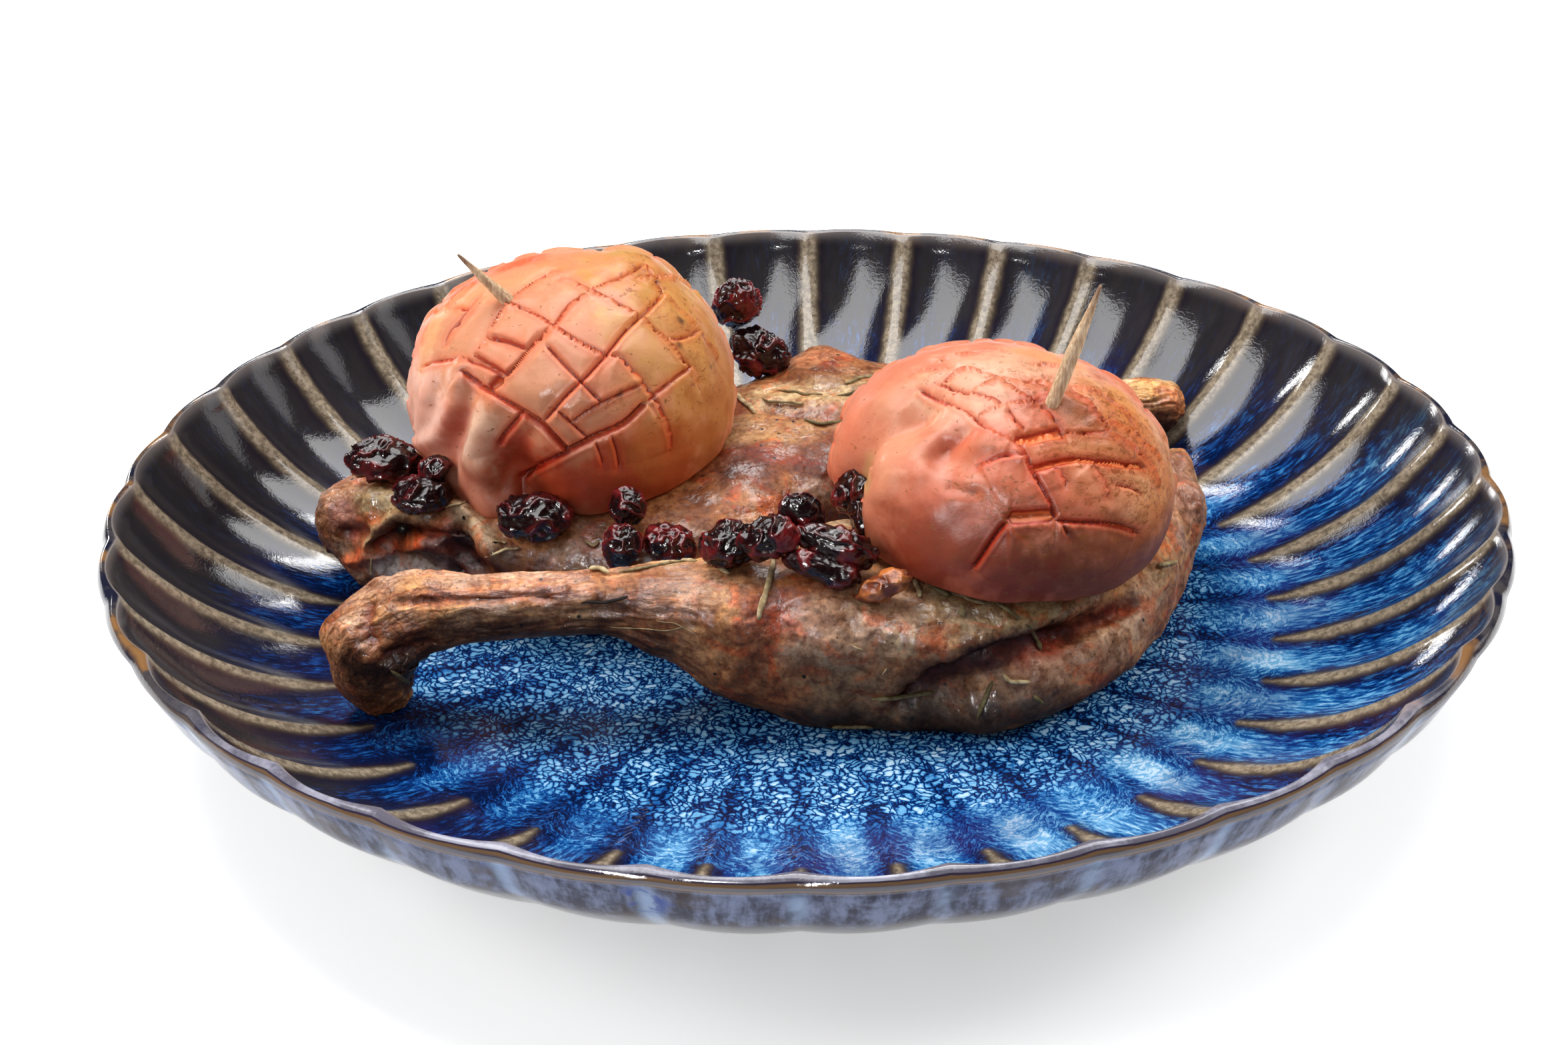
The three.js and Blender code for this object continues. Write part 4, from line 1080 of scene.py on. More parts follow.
def roast_material():
    s = Shader("roast_meat")
    place = s.place()
    colour = s.colour("paint")
    straight, slim = s.vector("straight"), s.value("slim")
    warped = s.moved(straight, 0.0035, place, 100.0, 3.0)
    fibres = s.noise(s.scaled(warped, (0.09, 1.0, 1.0)), 1000.0, 5.0, 0.65)
    tissue = s.noise(place, 230.0, 6.0, 0.68, 0.5)
    fat = s.noise(s.moved(place, 0.008, place, 120.0, 2.0), 95.0, 5.0, 0.64)
    blood = s.noise(place, 130.0, 4.0, 0.6, 1.2)
    depth = s.noise(place, 62.0, 4.0, 0.6)
    speckle = s.noise(place, 1050.0, 3.0, 0.6)

    colour = s.tint(s.band(fat, 0.48, 0.66) * 0.7, colour, (1.5, 1.45, 1.25))
    colour = s.tint(s.band(depth, 0.54, 0.36) * 0.7, colour, (0.52, 0.34, 0.24))
    bloody = 0.7 - slim * 0.4
    colour = s.tint(s.band(blood, 0.52, 0.64) * bloody, colour, (1.3, 0.58, 0.34))
    colour = s.tint(s.band(tissue, 0.54, 0.4) * 0.75, colour, (0.48, 0.32, 0.21))
    colour = s.tint(s.band(speckle, 0.5, 0.38) * 0.6, colour, (0.5, 0.38, 0.3))
    colour = s.tint(s.band(speckle, 0.56, 0.66) * 0.5, colour, (1.4, 1.36, 1.25))
    # Fibre streaks: the pale ones are partly painted highlight, most on the shank, and darker ones
    # lie between
    along = slim * 0.75 + 0.15
    colour = s.tint(s.band(fibres, 0.53, 0.68) * along, colour, (1.75, 1.62, 1.35))
    colour = s.tint(s.band(fibres, 0.47, 0.34) * along, colour, (0.62, 0.4, 0.27))

    # Scaly skin on the joint's end
    scale_edge = s.cells(s.moved(place, 0.001, place, 300.0, 2.0), 520.0)
    scaly = s.band(s.parts(straight)[0], 0.042, 0.02) * slim
    scales = s.band(scale_edge, 0.16, 0.02) * scaly
    colour = s.tint(scales * 0.4, colour, (0.5, 0.4, 0.32))

    # Pepper and browned bits
    pepper = s.cells(place, 270.0, "F1")
    some = s.noise(place, 140.0, 2.0)
    dots = s.band(pepper, 0.13, 0.09) * s.band(some, 0.5, 0.58)
    crumbs = s.band(s.cells(place, 520.0, "F1"), 0.17, 0.1) * s.band(some, 0.5, 0.42)
    colour = s.mix(crumbs * 0.8, colour, (0.09, 0.035, 0.012))
    colour = s.mix(dots, colour, (0.008, 0.005, 0.004))

    # Wet skin over fine bumps
    pores = s.band(s.cells(place, 560.0, "F1"), 0.5, 0.05) * (1.0 - slim * 0.9)
    height = fibres * (slim * 0.9 + 0.3) + tissue * 0.8
    height = height + (pores * 0.22 + speckle * 0.25)
    height = height - scales * 0.35
    relief = s.bump(height, 0.0006, 0.7)
    film = s.noise(place, 640.0, 3.0, 0.5) + s.noise(place, 1500.0, 2.0, 0.5) * 0.3
    film = s.bump(film + height * 0.75, 0.0005, 0.8)
    wet = s.band(s.noise(place, 170.0, 4.0, 0.6) + slim * 0.05, 0.47, 0.6)
    return s.finish(Base_Color=colour, Roughness=0.45, Specular_IOR_Level=0.15, Normal=relief,
                    Coat_Weight=(wet * 0.9 + 0.06) * s.value("upper"), Coat_Roughness=0.06,
                    Coat_Normal=film, Subsurface_Weight=0.15,
                    Subsurface_Radius=(0.003, 0.0012, 0.0007), Subsurface_Scale=1.0)


# Dried fruit: place, half sizes and turn in degrees
BERRIES = {
    "cranberry_back_high": ([-13, 57.4, 51], [5, 4.6, 5.6], [20, 10, 0]),
    "cranberry_back_low": ([-8.3, 53.9, 41], [6.6, 5, 5.4], [0, 25, -10]),
    "cranberry_left_high": ([-82, 9, 39.5], [8, 5.2, 4.6], [0, 10, 10]),
    "cranberry_left_low": ([-74, -1, 36.5], [5.8, 4.6, 3.8], [0, 5, 20]),
    "cranberry_left_small": ([-71.5, 2.6, 40.5], [3.8, 3.4, 3], [0, -30, 0]),
    "cranberry_under_left": ([-52, -9.4, 36], [7.6, 4.6, 4.4], [0, 0, -6]),
    "cranberry_mid_high": ([-33.8, -10, 38], [4.2, 4, 3.8], [0, 40, 0]),
    "cranberry_mid_low": ([-34.4, -17.5, 33.5], [4, 4.2, 4.8], [0, 10, 30]),
    "cranberry_mid_right": ([-26, -15.5, 32.8], [5.2, 4.4, 4], [0, 20, 0]),
    "cranberry_row_1": ([-14, -35.5, 43], [5.6, 4.6, 4.6], [0, -12, 12]),
    "cranberry_row_2": ([-7, -38.3, 45.6], [5.8, 4.2, 4], [0, -8, 0]),
    "cranberry_row_top": ([-1, -33, 48], [4.6, 3, 4], [0, 40, 0]),
    "cranberry_row_3": ([5.5, -38, 44], [8.4, 4.2, 3.6], [0, 22, -4]),
    "cranberry_row_4": ([3, -42, 41.3], [7.6, 3.2, 2.8], [0, 16, -6]),
    "cranberry_stem_high": ([9.5, -21.5, 46], [4.4, 4, 4.4], [0, 0, 0]),
    "cranberry_stem_low": ([10.8, -28, 43], [2.6, 4, 5], [0, -25, 0]),
    "fruit_piece": ([13.5, -44.5, 39], [5.4, 2.6, 2.4], [20, -28, 6]),
}


def build_berry(name, at, size, turn, seed):
    rows, columns = 64, 88
    lat = np.linspace(-1, 1, rows + 2)[1:-1, None] * math.pi / 2
    turn_at = 2 * math.pi * np.arange(columns)[None] / columns
    out = np.stack(np.broadcast_arrays(np.cos(lat) * np.cos(turn_at), np.cos(lat) * np.sin(turn_at),
                                       np.sin(lat)), axis=-1)
    surface = Surface((out * size) @ turned(turn).T + at)
    small = min(size)
    p = surface.points + noise(surface.points, 3, seed, 2)[..., None] * 1.1
    folds = ridged(p, 3.6, seed, 2)
    fine = ridged(p, 1.5, seed + 4, 2)
    dents = noise(surface.points, 5.5, seed + 8, 1)
    surface.push((folds - 0.75) * 0.2 * small + (fine - 0.6) * 0.05 * small + dents * 0.1 * small)
    surface.refresh()
    return add_grid(name + "_skin", surface, {"fold": folds})


def berry_material(name, deep, lit, rough):
    s = Shader(name)
    place = s.place()
    fold = s.value("fold")
    tone = s.noise(place, 150.0, 3.0)
    colour = s.mix(s.band(tone + fold * 0.3, 0.55, 0.95), deep, lit)
    fine = s.noise(place, 1100.0, 3.0)
    relief = s.bump(s.noise(place, 500.0, 4.0) + fine * 0.3, 0.0003, 0.5)
    return s.finish(Base_Color=colour, Roughness=rough, IOR=1.47, Normal=relief,
                    Subsurface_Weight=0.1, Subsurface_Radius=(0.002, 0.0004, 0.0003),
                    Subsurface_Scale=1.0, Coat_Weight=0.2, Coat_Roughness=0.06)


# Picks and needles: tubes along a path
def tube(path, radii, columns, squash=1.0):
    """Rings of given radii around a path, closed around; squash flattens them upwards."""
    tangent = unit(np.gradient(path, axis=0))
    helper = np.array([0.0, 0.0, 1.0]) if abs(tangent[0][2]) < 0.9 else np.array([0.0, 1.0, 0.0])
    side = unit(np.cross(tangent, helper))
    up = np.cross(side, tangent)
    angle = 2 * math.pi * np.arange(columns) / columns
    ring = (np.cos(angle)[None, :, None] * side[:, None]
            + np.sin(angle)[None, :, None] * up[:, None] * squash)
    return Surface(path[:, None] + ring * np.asarray(radii)[:, None, None])


# Picks: tip and hidden end
PICK_RADIUS, TIP_RADIUS = 1.35, 0.35
PICKS = {
    "left": ([-65.5, 15, 80], [-49, 17, 61]),
    "right": ([53.2, -20, 86], [39.5, -25, 50]),
}


def build_pick(side):
    tip, end = (np.array(v, float) for v in PICKS[side])
    length = np.linalg.norm(tip - end)
    rows, columns = 70, 20
    s = np.linspace(0, length, rows)
    from_tip = length - s
    radius = np.minimum(PICK_RADIUS, TIP_RADIUS + from_tip / 13) - 0.12 * np.exp(-from_tip)
    surface = tube(lerp(end, tip, (s / length)[:, None]), radius, columns)
    facets = noise(surface.points, (1.4, 1.4, 9), 3, 2) * 0.06
    surface.push(facets)
    along = np.repeat(from_tip, columns)
    return add_grid("pick_" + side + "_wood", surface, {"tip": along})


def wood_material():
    s = Shader("pick_wood")
    place = s.place()
    grain = s.noise(s.scaled(place, (1.0, 1.0, 0.12)), 2200.0, 5.0, 0.6)
    colour = s.mix(s.band(grain, 0.35, 0.7), (0.42, 0.24, 0.12), (0.78, 0.58, 0.36))
    tip = s.value("tip") + grain * 4.0
    colour = s.mix(s.band(tip, 8.0, 2.5) * 0.8, colour, (0.16, 0.06, 0.025))
    relief = s.bump(grain, 0.0002, 0.6)
    return s.finish(Base_Color=colour, Roughness=0.62, Normal=relief)


def build_needles(name, surface, needles, seed):
    """Dried needles and shreds laid on a leg: radius, shade and the pixels of each."""
    draw = np.random.default_rng(seed)
    rings, sides = 13, 12
    points, faces, shade = [], [], []
    for radius, tone, pixels in needles:
        found = surface.places(pixels)
        at = np.linspace(0, len(found) - 1, rings)
        low = np.floor(at).astype(int)
        high = np.minimum(low + 1, len(found) - 1)
        path = lerp(found[low], found[high], (at - low)[:, None])
        for _ in range(2):
            path[1:-1] = (path[:-2] + 2 * path[1:-1] + path[2:]) / 4
        lift = np.linspace(0, 1, rings)
        arch = radius * (0.6 + 0.9 * np.sin(math.pi * lift) * draw.uniform(0.2, 1))
        path = path + unit(EYE - path.mean(axis=0)) * arch[:, None] + [0, 0, radius * 0.3]
        radii = radius * np.minimum(1, 0.3 + 4 * np.minimum(lift, 1.04 - lift))
        leaf = tube(path, radii * draw.uniform(0.85, 1.1, rings), sides, 0.6)
        start = sum(len(p) for p in points)
        rows, columns = leaf.points.shape[:2]
        points.append(np.vstack([leaf.points.reshape(-1, 3), path[0], path[-1]]))
        faces += (grid_faces(rows, columns) + start).tolist()
        for k in range(columns):
            after = (k + 1) % columns
            last = start + (rows - 1) * columns
            faces.append((start + rows * columns, start + after, start + k))
            faces.append((start + rows * columns + 1, last + k, last + after))
        shade.append(np.full(rows * columns + 2, tone))
    return add_mesh(name, np.vstack(points), faces, {"shade": np.concatenate(shade)})


def needle_material():
    """Charred at shade 0, olive at a half, straw at 1."""
    s = Shader("rosemary")
    place = s.place()
    shade = s.value("shade")
    mottle = s.noise(place, 700.0, 4.0)
    colour = s.mix(s.band(shade, 0.0, 0.5), (0.012, 0.008, 0.006), (0.17, 0.14, 0.06))
    colour = s.mix(s.band(shade, 0.5, 1.0), colour, (0.6, 0.47, 0.27))
    colour = s.tint(s.band(mottle, 0.62, 0.42) * 0.7, colour, (0.4, 0.3, 0.2))
    relief = s.bump(mottle, 0.0003, 0.6)
    return s.finish(Base_Color=colour, Roughness=0.6, Specular_IOR_Level=0.1, Normal=relief)


# Dabs of colour and spots of freckles: the pixels they pass, radius, colour and strength
LEFT_DABS = [
    ([560, 560, 610, 640, 680, 700], 15, (1.0, 0.6, 0.52), 0.8),
    ([640, 570, 640, 640], 6, (0.84, 0.5, 0.42), 0.8),
    ([720, 640, 700, 690, 740, 715], 3.6, (0.86, 0.6, 0.46), 0.8),
    # Red in the valley beside the crest: partly painted shade
    ([690, 620, 676, 690], 3.2, (0.66, 0.16, 0.1), 0.6),
    ([790, 670, 770, 710], 4.6, (0.74, 0.13, 0.06), 0.8),
    ([650, 480, 640, 540], 4, (0.82, 0.44, 0.2), 0.7),
    ([620, 520, 650, 450, 720, 410, 800, 390], 5, (0.8, 0.16, 0.06), 0.75),
    ([690, 450, 740, 430, 800, 420], 5, (0.86, 0.4, 0.2), 0.7),
    ([860, 400, 960, 400], 7, (0.8, 0.3, 0.13), 0.6),
    ([980, 420, 1040, 500, 1065, 600], 14, (0.66, 0.36, 0.1), 0.9),
    ([940, 500, 990, 540, 970, 580], 7, (0.72, 0.4, 0.16), 0.6),
    ([1075, 520, 1085, 600, 1060, 670], 8, (0.56, 0.25, 0.07), 0.8),
    # Darker, redder lower front: partly painted shade
    ([800, 735, 900, 725, 1000, 700], 8, (0.66, 0.12, 0.045), 0.85),
    ([1000, 690, 1050, 650], 9, (0.52, 0.2, 0.055), 0.7),
    ([640, 690, 720, 735], 6, (0.62, 0.17, 0.08), 0.6),
    ([1018, 483], 0.85, (0.12, 0.05, 0.02), 0.9),
    ([1016, 518], 0.9, (0.14, 0.06, 0.02), 0.85),
    ([1048, 484], 0.7, (0.14, 0.06, 0.02), 0.7),
    ([930, 592], 1.0, (0.16, 0.06, 0.02), 0.8),
    ([1063, 551], 0.7, (0.2, 0.08, 0.02), 0.8),
    ([996, 602], 0.5, (0.14, 0.06, 0.02), 0.9),
    ([1062, 520], 0.6, (0.28, 0.1, 0.03), 0.8),
    ([985, 425], 0.6, (0.3, 0.12, 0.04), 0.8),
]
LEFT_SPOTS = [
    ([990, 430, 1060, 520, 1075, 620], 12, (1, 1, 1), 0.55),
    ([930, 600, 1000, 600], 5, (1, 1, 1), 0.4),
]
RIGHT_DABS = [
    ([1275, 640, 1270, 720], 6, (0.76, 0.27, 0.17), 0.8),
    ([1306, 690, 1306, 730], 2.2, (0.62, 0.4, 0.16), 0.6),
    ([1350, 600, 1340, 720], 6, (0.84, 0.42, 0.27), 0.6),
    ([1434, 664, 1450, 652], 3, (0.72, 0.17, 0.1), 0.7),
    ([1404, 688], 3.4, (0.76, 0.24, 0.16), 0.6),
    # Painted highlight along the ridge
    ([1420, 712, 1455, 725], 3, (0.88, 0.6, 0.5), 0.7),
    ([1440, 612, 1500, 618], 5, (0.86, 0.48, 0.38), 0.7),
    ([1450, 580, 1500, 555, 1560, 545, 1620, 575], 9, (0.86, 0.52, 0.36), 0.75),
    ([1380, 750, 1440, 790, 1500, 740], 9, (0.7, 0.17, 0.085), 0.75),
    ([1640, 690, 1710, 730], 8, (0.9, 0.54, 0.3), 0.8),
    ([1545, 530, 1600, 545], 4, (0.84, 0.33, 0.12), 0.6),
    ([1600, 610, 1625, 640], 4, (0.55, 0.25, 0.13), 0.7),
    ([1690, 620, 1740, 700, 1740, 800], 10, (0.74, 0.35, 0.12), 0.85),
    ([1560, 660, 1650, 668, 1700, 690], 5, (0.62, 0.24, 0.1), 0.7),
    ([1560, 740, 1640, 760], 8, (0.66, 0.2, 0.12), 0.6),
    # Painted shade along the lower edges of the half
    ([1560, 860, 1660, 870, 1730, 830], 9, (0.26, 0.085, 0.03), 0.8),
    ([1380, 820, 1450, 840, 1540, 865], 8, (0.4, 0.075, 0.035), 0.8),
]
RIGHT_SPOTS = [
    ([1620, 620, 1710, 660, 1740, 780], 15, (1, 1, 1), 1.0),
    ([1560, 800, 1700, 840], 10, (1, 1, 1), 0.8),
    ([1460, 740, 1500, 740], 5, (1, 1, 1), 0.5),
    ([1450, 560, 1560, 560], 8, (1, 1, 1), 0.3),
    ([1400, 780, 1480, 800], 8, (1, 1, 1), 0.3),
]
FRONT_DABS = [
    ([560, 870, 620, 850], 5, (0.42, 0.25, 0.16), 0.8),
    ([510, 940, 530, 990], 5, (0.36, 0.18, 0.1), 0.8),
    # Painted shade under the joint's knob
    ([560, 1010, 600, 1000, 640, 985], 6, (0.045, 0.02, 0.012), 0.9),
    ([505, 950, 520, 930, 545, 925], 1.6, (0.5, 0.32, 0.2), 0.7),
    ([560, 860, 700, 855, 850, 865], 3.2, (0.46, 0.28, 0.19), 0.8),
    ([620, 895, 720, 890, 800, 890, 880, 885], 2.4, (0.42, 0.15, 0.055), 0.8),
    ([650, 920, 760, 920, 900, 925], 2, (0.42, 0.27, 0.14), 0.6),
    # Painted shade along the shank's underside
    ([640, 950, 760, 945, 900, 955, 1000, 975], 3, (0.1, 0.04, 0.018), 0.85),
    ([960, 880, 1040, 880], 6, (0.36, 0.17, 0.09), 0.7),
    ([930, 850, 1020, 840], 3, (0.5, 0.38, 0.24), 0.7),
    ([1215, 780, 1290, 790], 7, (0.52, 0.4, 0.25), 0.8),
    ([1060, 880, 1130, 870], 5, (0.42, 0.26, 0.17), 0.6),
    ([1165, 930, 1220, 905], 8, (0.34, 0.075, 0.025), 0.8),
    ([1130, 985, 1180, 985], 4, (0.46, 0.17, 0.06), 0.7),
    ([1285, 936, 1300, 940], 5, (0.48, 0.27, 0.17), 0.7),
    ([1357, 967], 4, (0.54, 0.42, 0.25), 0.7),
    ([1280, 920, 1400, 900], 9, (0.46, 0.29, 0.19), 0.75),
    ([1190, 985, 1220, 990], 2.5, (0.5, 0.38, 0.26), 0.6),
    ([1340, 980], 3, (0.46, 0.34, 0.2), 0.5),
    ([1290, 900], 2.2, (0.48, 0.35, 0.2), 0.5),
    ([1100, 1020, 1200, 1060], 6, (0.32, 0.13, 0.05), 0.7),
    ([1250, 1040, 1330, 1060], 7, (0.2, 0.13, 0.07), 0.7),
    ([1440, 900, 1520, 930, 1580, 920], 8, (0.26, 0.2, 0.11), 0.8),
    ([1480, 985, 1540, 965], 3.5, (0.12, 0.06, 0.05), 0.8),
    # Painted shade in the crease between thigh and lobe
    ([1400, 1010, 1500, 975, 1600, 950, 1700, 900], 3, (0.1, 0.018, 0.012), 0.85),
    ([1550, 990, 1600, 975], 4, (0.32, 0.07, 0.03), 0.8),
    ([1540, 995, 1576, 982], 3, (0.26, 0.03, 0.012), 0.8),
    ([1540, 1035, 1612, 1012, 1700, 935], 5, (0.46, 0.3, 0.2), 0.75),
    ([1380, 1070, 1450, 1075], 5, (0.13, 0.105, 0.075), 0.75),
    # Painted shade along the bottom edge of the leg
    ([1200, 1080, 1350, 1090, 1480, 1092, 1590, 1062], 4, (0.05, 0.028, 0.018), 0.85),
    ([1660, 960, 1730, 880], 4.5, (0.44, 0.28, 0.18), 0.7),
    ([1760, 700, 1790, 760], 6, (0.24, 0.12, 0.09), 0.8),
    # Painted highlight
    ([1765, 790], 4, (0.34, 0.2, 0.17), 0.6),
    ([1745, 850], 5, (0.28, 0.18, 0.09), 0.7),
]
BACK_DABS = [
    ([510, 830, 520, 860], 5, (0.22, 0.15, 0.12), 0.8),
    ([510, 740, 560, 735], 5, (0.38, 0.2, 0.11), 0.8),
    ([515, 770, 525, 780], 3.5, (0.26, 0.1, 0.09), 0.7),
    ([560, 755, 610, 765], 4, (0.36, 0.28, 0.15), 0.8),
    ([525, 843, 563, 833, 605, 819, 632, 816], 1.9, (0.52, 0.13, 0.045), 0.9),
    ([550, 820, 563, 793, 591, 779, 625, 779], 1.6, (0.42, 0.29, 0.16), 0.7),
    ([580, 862, 620, 852, 650, 842], 3.5, (0.38, 0.35, 0.34), 0.85),
    ([660, 820, 700, 840], 5, (0.2, 0.12, 0.12), 0.8),
    # Painted shade in the three holes below
    ([690, 795, 702, 815], 2, (0.02, 0.008, 0.006), 0.9),
    ([600, 795, 614, 795], 1.6, (0.01, 0.005, 0.004), 0.95),
    ([680, 860, 690, 862], 1.6, (0.01, 0.005, 0.004), 0.95),
    ([690, 765, 722, 800, 742, 830], 2.6, (0.38, 0.28, 0.18), 0.85),
    ([760, 860, 830, 870], 5, (0.14, 0.045, 0.02), 0.7),
    ([850, 838, 880, 850], 4, (0.36, 0.25, 0.17), 0.5),
    ([1110, 640, 1200, 620], 8, (0.44, 0.24, 0.1), 0.75),
    # Painted shade on the middle of the leg between the fruit halves
    ([1100, 700, 1250, 690], 9, (0.17, 0.045, 0.014), 0.85),
    ([1000, 760, 1080, 740], 7, (0.3, 0.11, 0.035), 0.7),
    ([1205, 540, 1260, 527], 4.5, (0.46, 0.18, 0.08), 0.85),
    ([1165, 552], 2.6, (0.5, 0.05, 0.01), 0.8),
    ([1150, 592, 1250, 592, 1350, 570], 6, (0.52, 0.4, 0.22), 0.8),
    ([1280, 583, 1300, 576], 1, (0.12, 0.07, 0.05), 0.8),
    ([1660, 575, 1760, 570], 6, (0.52, 0.3, 0.12), 0.85),
    ([1640, 565, 1690, 560], 2.5, (0.62, 0.46, 0.36), 0.6),
    ([1290, 600, 1350, 590], 5, (0.46, 0.3, 0.14), 0.7),
    ([1765, 600, 1778, 620], 3.5, (0.44, 0.15, 0.05), 0.8),
    # Painted shade under the joint's knob
    ([1700, 640, 1750, 645], 3, (0.08, 0.03, 0.012), 0.8),
    ([1110, 650, 1200, 650], 5, (0.5, 0.29, 0.13), 0.7),
    # Painted shade on the middle of the leg between the fruit halves
    ([1110, 690, 1180, 705, 1240, 700], 7, (0.13, 0.035, 0.014), 0.85),
    ([1080, 770, 1140, 765, 1200, 745], 5, (0.4, 0.18, 0.07), 0.75),
    # Painted highlight
    ([1208, 742, 1232, 735], 2.4, (0.5, 0.38, 0.3), 0.7),
]
FRONT_LINES = [
    (-0.9, 1.0, [600, 902, 700, 898, 820, 895]),
    (-2.2, 1.9, [1350, 1060, 1400, 1012, 1500, 975, 1600, 952, 1700, 905]),
    (0.7, 1.2, [560, 870, 700, 868, 850, 880]),
    (-1.4, 1.4, [552, 905, 548, 935, 560, 960]),
    (0.9, 1.4, [512, 935, 530, 962, 552, 985]),
    (-1.6, 1.8, [585, 985, 640, 968]),
    (1.0, 2.2, [1470, 1020, 1560, 1000, 1640, 960]),
    (0.8, 2.4, [1180, 880, 1300, 930, 1420, 980]),
    (-0.8, 1.6, [1290, 860, 1380, 880]),
]
BACK_LINES = [
    (-4.0, 1.7, [599, 796, 614, 796]),
    (-3.4, 1.5, [680, 860, 690, 862]),
    (1.6, 1.3, [525, 843, 563, 833, 605, 819, 632, 816]),
    (1.5, 1.2, [550, 820, 563, 793, 591, 779, 625, 779]),
    (-1.8, 1.4, [560, 826, 600, 806, 640, 800]),
    (2.0, 1.6, [680, 762, 701, 775, 722, 800, 738, 828]),
    (-2.6, 1.5, [690, 795, 702, 816]),
    (-1.6, 2.0, [655, 800, 690, 830, 720, 850]),
    (1.0, 2.4, [505, 740, 560, 742, 620, 760]),
    (-1.3, 1.4, [520, 800, 545, 795]),
    (1.1, 2.0, [1130, 600, 1220, 606, 1290, 600]),
    (-1.1, 1.4, [1150, 615, 1250, 622]),
    (1.4, 1.6, [1195, 560, 1225, 575, 1262, 570]),
]
# Rosemary needles and shreds of skin: radius, shade and the pixels they lie along
FRONT_NEEDLES = [
    (0.62, 1.0, [1162, 833, 1153, 877, 1136, 932]),
    (0.5, 0.85, [1370, 867, 1380, 896]),
    (0.7, 0.55, [1391, 871, 1423, 896]),
    (0.55, 0.75, [1423, 888, 1478, 908]),
    (0.5, 0.6, [1471, 888, 1531, 929]),
    (0.45, 0.5, [1543, 934, 1562, 976]),
    (0.6, 0.7, [1442, 910, 1446, 928]),
    (0.65, 0.6, [1306, 1051, 1350, 1047, 1397, 1039]),
    (0.6, 0.65, [1246, 1097, 1306, 1093]),
    (0.55, 0.55, [1488, 1022, 1466, 1077]),
    (0.55, 0.9, [1503, 1016, 1545, 1025]),
    (0.6, 0.8, [1736, 848, 1765, 844]),
    (0.6, 0.35, [1551, 1048, 1562, 1056]),
    (0.2, 1.0, [1275, 967, 1296, 978]),
    (0.25, 1.0, [1330, 1003, 1323, 1013]),
    (0.6, 1.0, [880, 830, 912, 862]),
    (0.4, 0.7, [929, 859, 975, 850, 1026, 841]),
    (0.55, 1.0, [1057, 845, 1075, 848, 1093, 862]),
    (0.45, 0.95, [1024, 830, 1042, 843]),
    (0.6, 0.6, [586, 1007, 615, 1028]),
    (0.42, 0.0, [870, 905, 885, 902, 900, 906, 920, 902, 942, 896]),
    (0.16, 1.0, [916, 941, 967, 944, 1004, 948, 1030, 941]),
    (0.14, 1.0, [983, 931, 1013, 935, 1042, 950]),
    (0.14, 1.0, [937, 937, 928, 952]),
]
BACK_NEEDLES = [
    (0.6, 1.0, [1102, 588, 1132, 619]),
    (0.5, 0.55, [1208, 630, 1232, 638, 1269, 632]),
    (0.45, 0.35, [1256, 592, 1301, 587]),
    (0.5, 0.7, [1269, 576, 1290, 568, 1319, 563]),
    (0.35, 0.6, [1141, 600, 1210, 611]),
    (0.35, 0.65, [1167, 587, 1236, 593]),
    (0.4, 0.95, [729, 835, 750, 828, 777, 822]),
    (0.22, 0.9, [556, 836, 558, 864]),
    (0.35, 0.9, [667, 764, 701, 754]),
    (0.3, 0.9, [740, 812, 762, 815]),
    (0.4, 0.8, [878, 812, 888, 820, 898, 812]),
]


def dress(piece, nodes, material):
    piece.data.materials.append(material)
    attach(piece, "root")
    if nodes:
        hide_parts(*nodes)


def build_food():
    roast, baked = roast_material(), baked_fruit_material()
    wood, rosemary = wood_material(), needle_material()
    cranberry = berry_material("dried_berry", (0.012, 0.002, 0.003), (0.19, 0.01, 0.012), 0.22)
    piece_look = berry_material("dried_fruit", (0.2, 0.04, 0.012), (0.66, 0.2, 0.04), 0.35)
    legs = {
        "front": (FRONT_STATIONS, FRONT_FORMS, FRONT_LINES, (0.4, 0.2, 0.09), FRONT_DABS),
        "back": (BACK_STATIONS, BACK_FORMS, BACK_LINES, (0.26, 0.11, 0.045), BACK_DABS),
    }
    grids = {"front": {"seed": 11, "rows": 430, "columns": 180},
             "back": {"seed": 23, "rows": 330, "columns": 160}}
    surfaces = {}
    for side, form in legs.items():
        leg, surfaces[side] = build_leg(side + "_leg_meat", *form, **grids[side])
        dress(leg, ["duck_leg_" + side], roast)
    for side, needles in (("front", FRONT_NEEDLES), ("back", BACK_NEEDLES)):
        piece = build_needles(side + "_leg_needles", surfaces[side], needles, seed=5)
        dress(piece, [], rosemary)
    for side, cuts, lines, base, dabs, spots, seed in (
        ("left", LEFT_CUTS, LEFT_LINES, (0.74, 0.34, 0.2), LEFT_DABS, LEFT_SPOTS, 31),
        ("right", RIGHT_CUTS, RIGHT_LINES, (0.72, 0.26, 0.16), RIGHT_DABS, RIGHT_SPOTS, 47),
    ):
        half = build_half(side, cuts, lines, base, dabs, spots, seed)
        dress(half, ["fruit_half_" + side], baked)
        dress(build_pick(side), ["pick_" + side], wood)
    for seed, (name, (at, size, turn)) in enumerate(BERRIES.items()):
        berry = build_berry(name, at, size, turn, 60 + seed)
        slot, look = "dried_berry", cranberry
        if name == "fruit_piece":
            slot, look = "dried_fruit", piece_look
        dress(berry, [name], look)


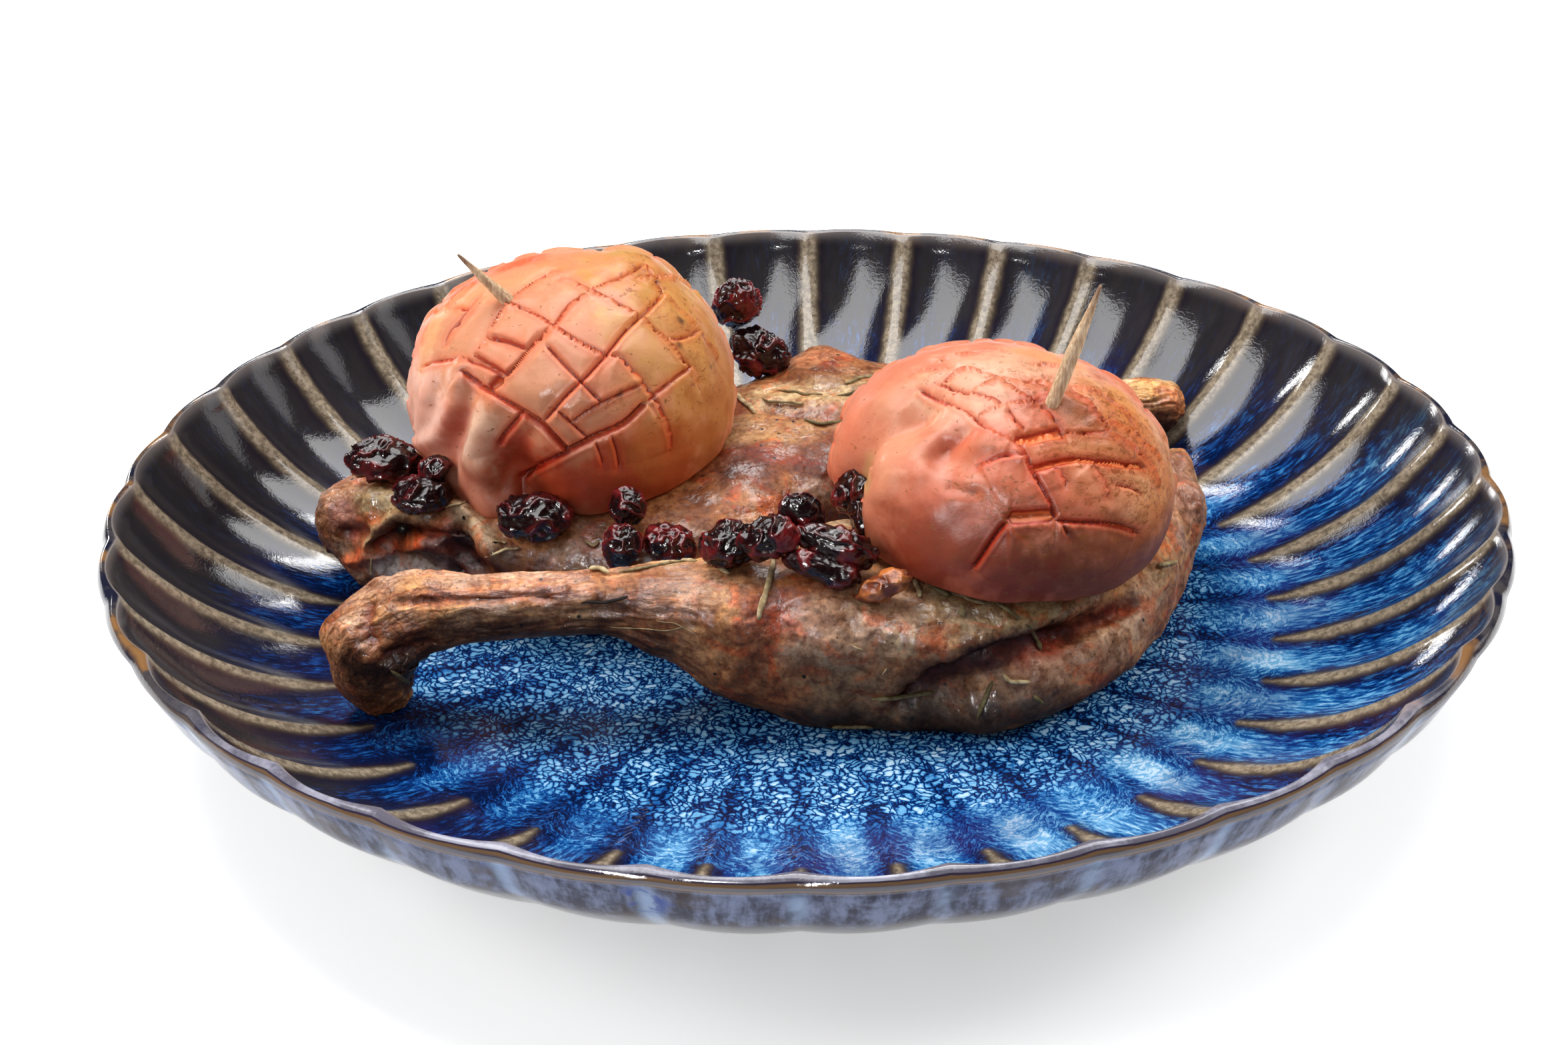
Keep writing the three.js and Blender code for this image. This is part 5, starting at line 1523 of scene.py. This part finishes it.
# Studio: a white table and soft boxes
# Lights: name, place and target in metres, size, power, and the one kind of light they give
LIGHTS = [
    ("softbox_top", (-0.05, 0.12, 1.0), (-0.03, 0.1, 0), (1.5, 0.8), 24, "glossy"),
    ("window_left", (-1.0, 1.5, 0.5), (0, 0, 0.05), (0.12, 0.22), 3.2, "glossy"),
    ("glint", (-0.35, -1.1, 0.75), (0, 0, 0.05), (0.22, 0.14), 15, "glossy"),
    ("card_right", (1.3, 0.3, 0.7), (0, 0, 0), (0.5, 0.8), 2, "glossy"),
    ("sparkle", (0.08, 0.82, 0.86), (0, 0, 0.05), (0.24, 0.16), 2.3, "glossy"),
    ("key", (-0.4, 0.38, 1.05), (0, 0, 0), (0.45, 0.45), 9.2, "diffuse"),
    ("top", (0.1, 0.2, 1.1), (0, 0, 0), (0.8, 0.8), 4.5, "diffuse"),
    ("side_left", (-1.0, -0.1, 0.55), (0, 0, 0.03), (0.5, 0.5), 7.5, "diffuse"),
    ("side_right", (1.0, 0.2, 0.65), (0, 0, 0.03), (0.5, 0.5), 9, "diffuse"),
    ("fill_front", (-0.3, -1.3, 0.9), (0, 0, 0.05), (1.0, 0.8), 2, "diffuse"),
]


def add_area(name, at, target, size, power, kind):
    data = bpy.data.lights.new(name, "AREA")
    data.shape = "RECTANGLE"
    data.size, data.size_y = size
    data.energy = power
    light = bpy.data.objects.new(name, data)
    light.visible_diffuse = kind == "diffuse"
    light.visible_glossy = kind == "glossy"
    bpy.context.scene.collection.objects.link(light)
    at, target = np.array(at, float), np.array(target, float)
    back = unit(at - target)
    right = unit(np.cross([0, 0, 1], back))
    turn = Matrix([right, np.cross(back, right), back]).transposed().to_4x4()
    light.matrix_world = Matrix.Translation(at) @ turn


def add_studio():
    mesh = bpy.data.meshes.new("table")
    corners = [(-4, -4, 0), (4, -4, 0), (4, 6, 0), (-4, 6, 0)]
    mesh.from_pydata(corners, [], [(0, 1, 2, 3)])
    table = bpy.data.objects.new("table", mesh)
    bpy.context.scene.collection.objects.link(table)
    s = Shader("table_white")
    grain = s.noise(s.place(), 40.0, 2.0)
    white = s.mix(grain, (0.9, 0.9, 0.9), (0.93, 0.93, 0.93))
    mesh.materials.append(s.finish(Base_Color=white, Roughness=0.7,
                                   Emission_Color=(1.0, 1.0, 1.0), Emission_Strength=0.5))
    world = bpy.data.worlds.new("studio")
    world.use_nodes = True
    background = world.node_tree.nodes["Background"]
    background.inputs["Color"].default_value = (1.0, 0.98, 0.96, 1)
    background.inputs["Strength"].default_value = 0.15
    bpy.context.scene.world = world
    bpy.context.scene.view_settings.view_transform = "Standard"
    world.cycles_visibility.glossy = False
    for light in LIGHTS:
        add_area(*light)


plate = build_plate()
dress(plate, ["plate"], glaze_material())
build_food()
add_studio()
add_camera()
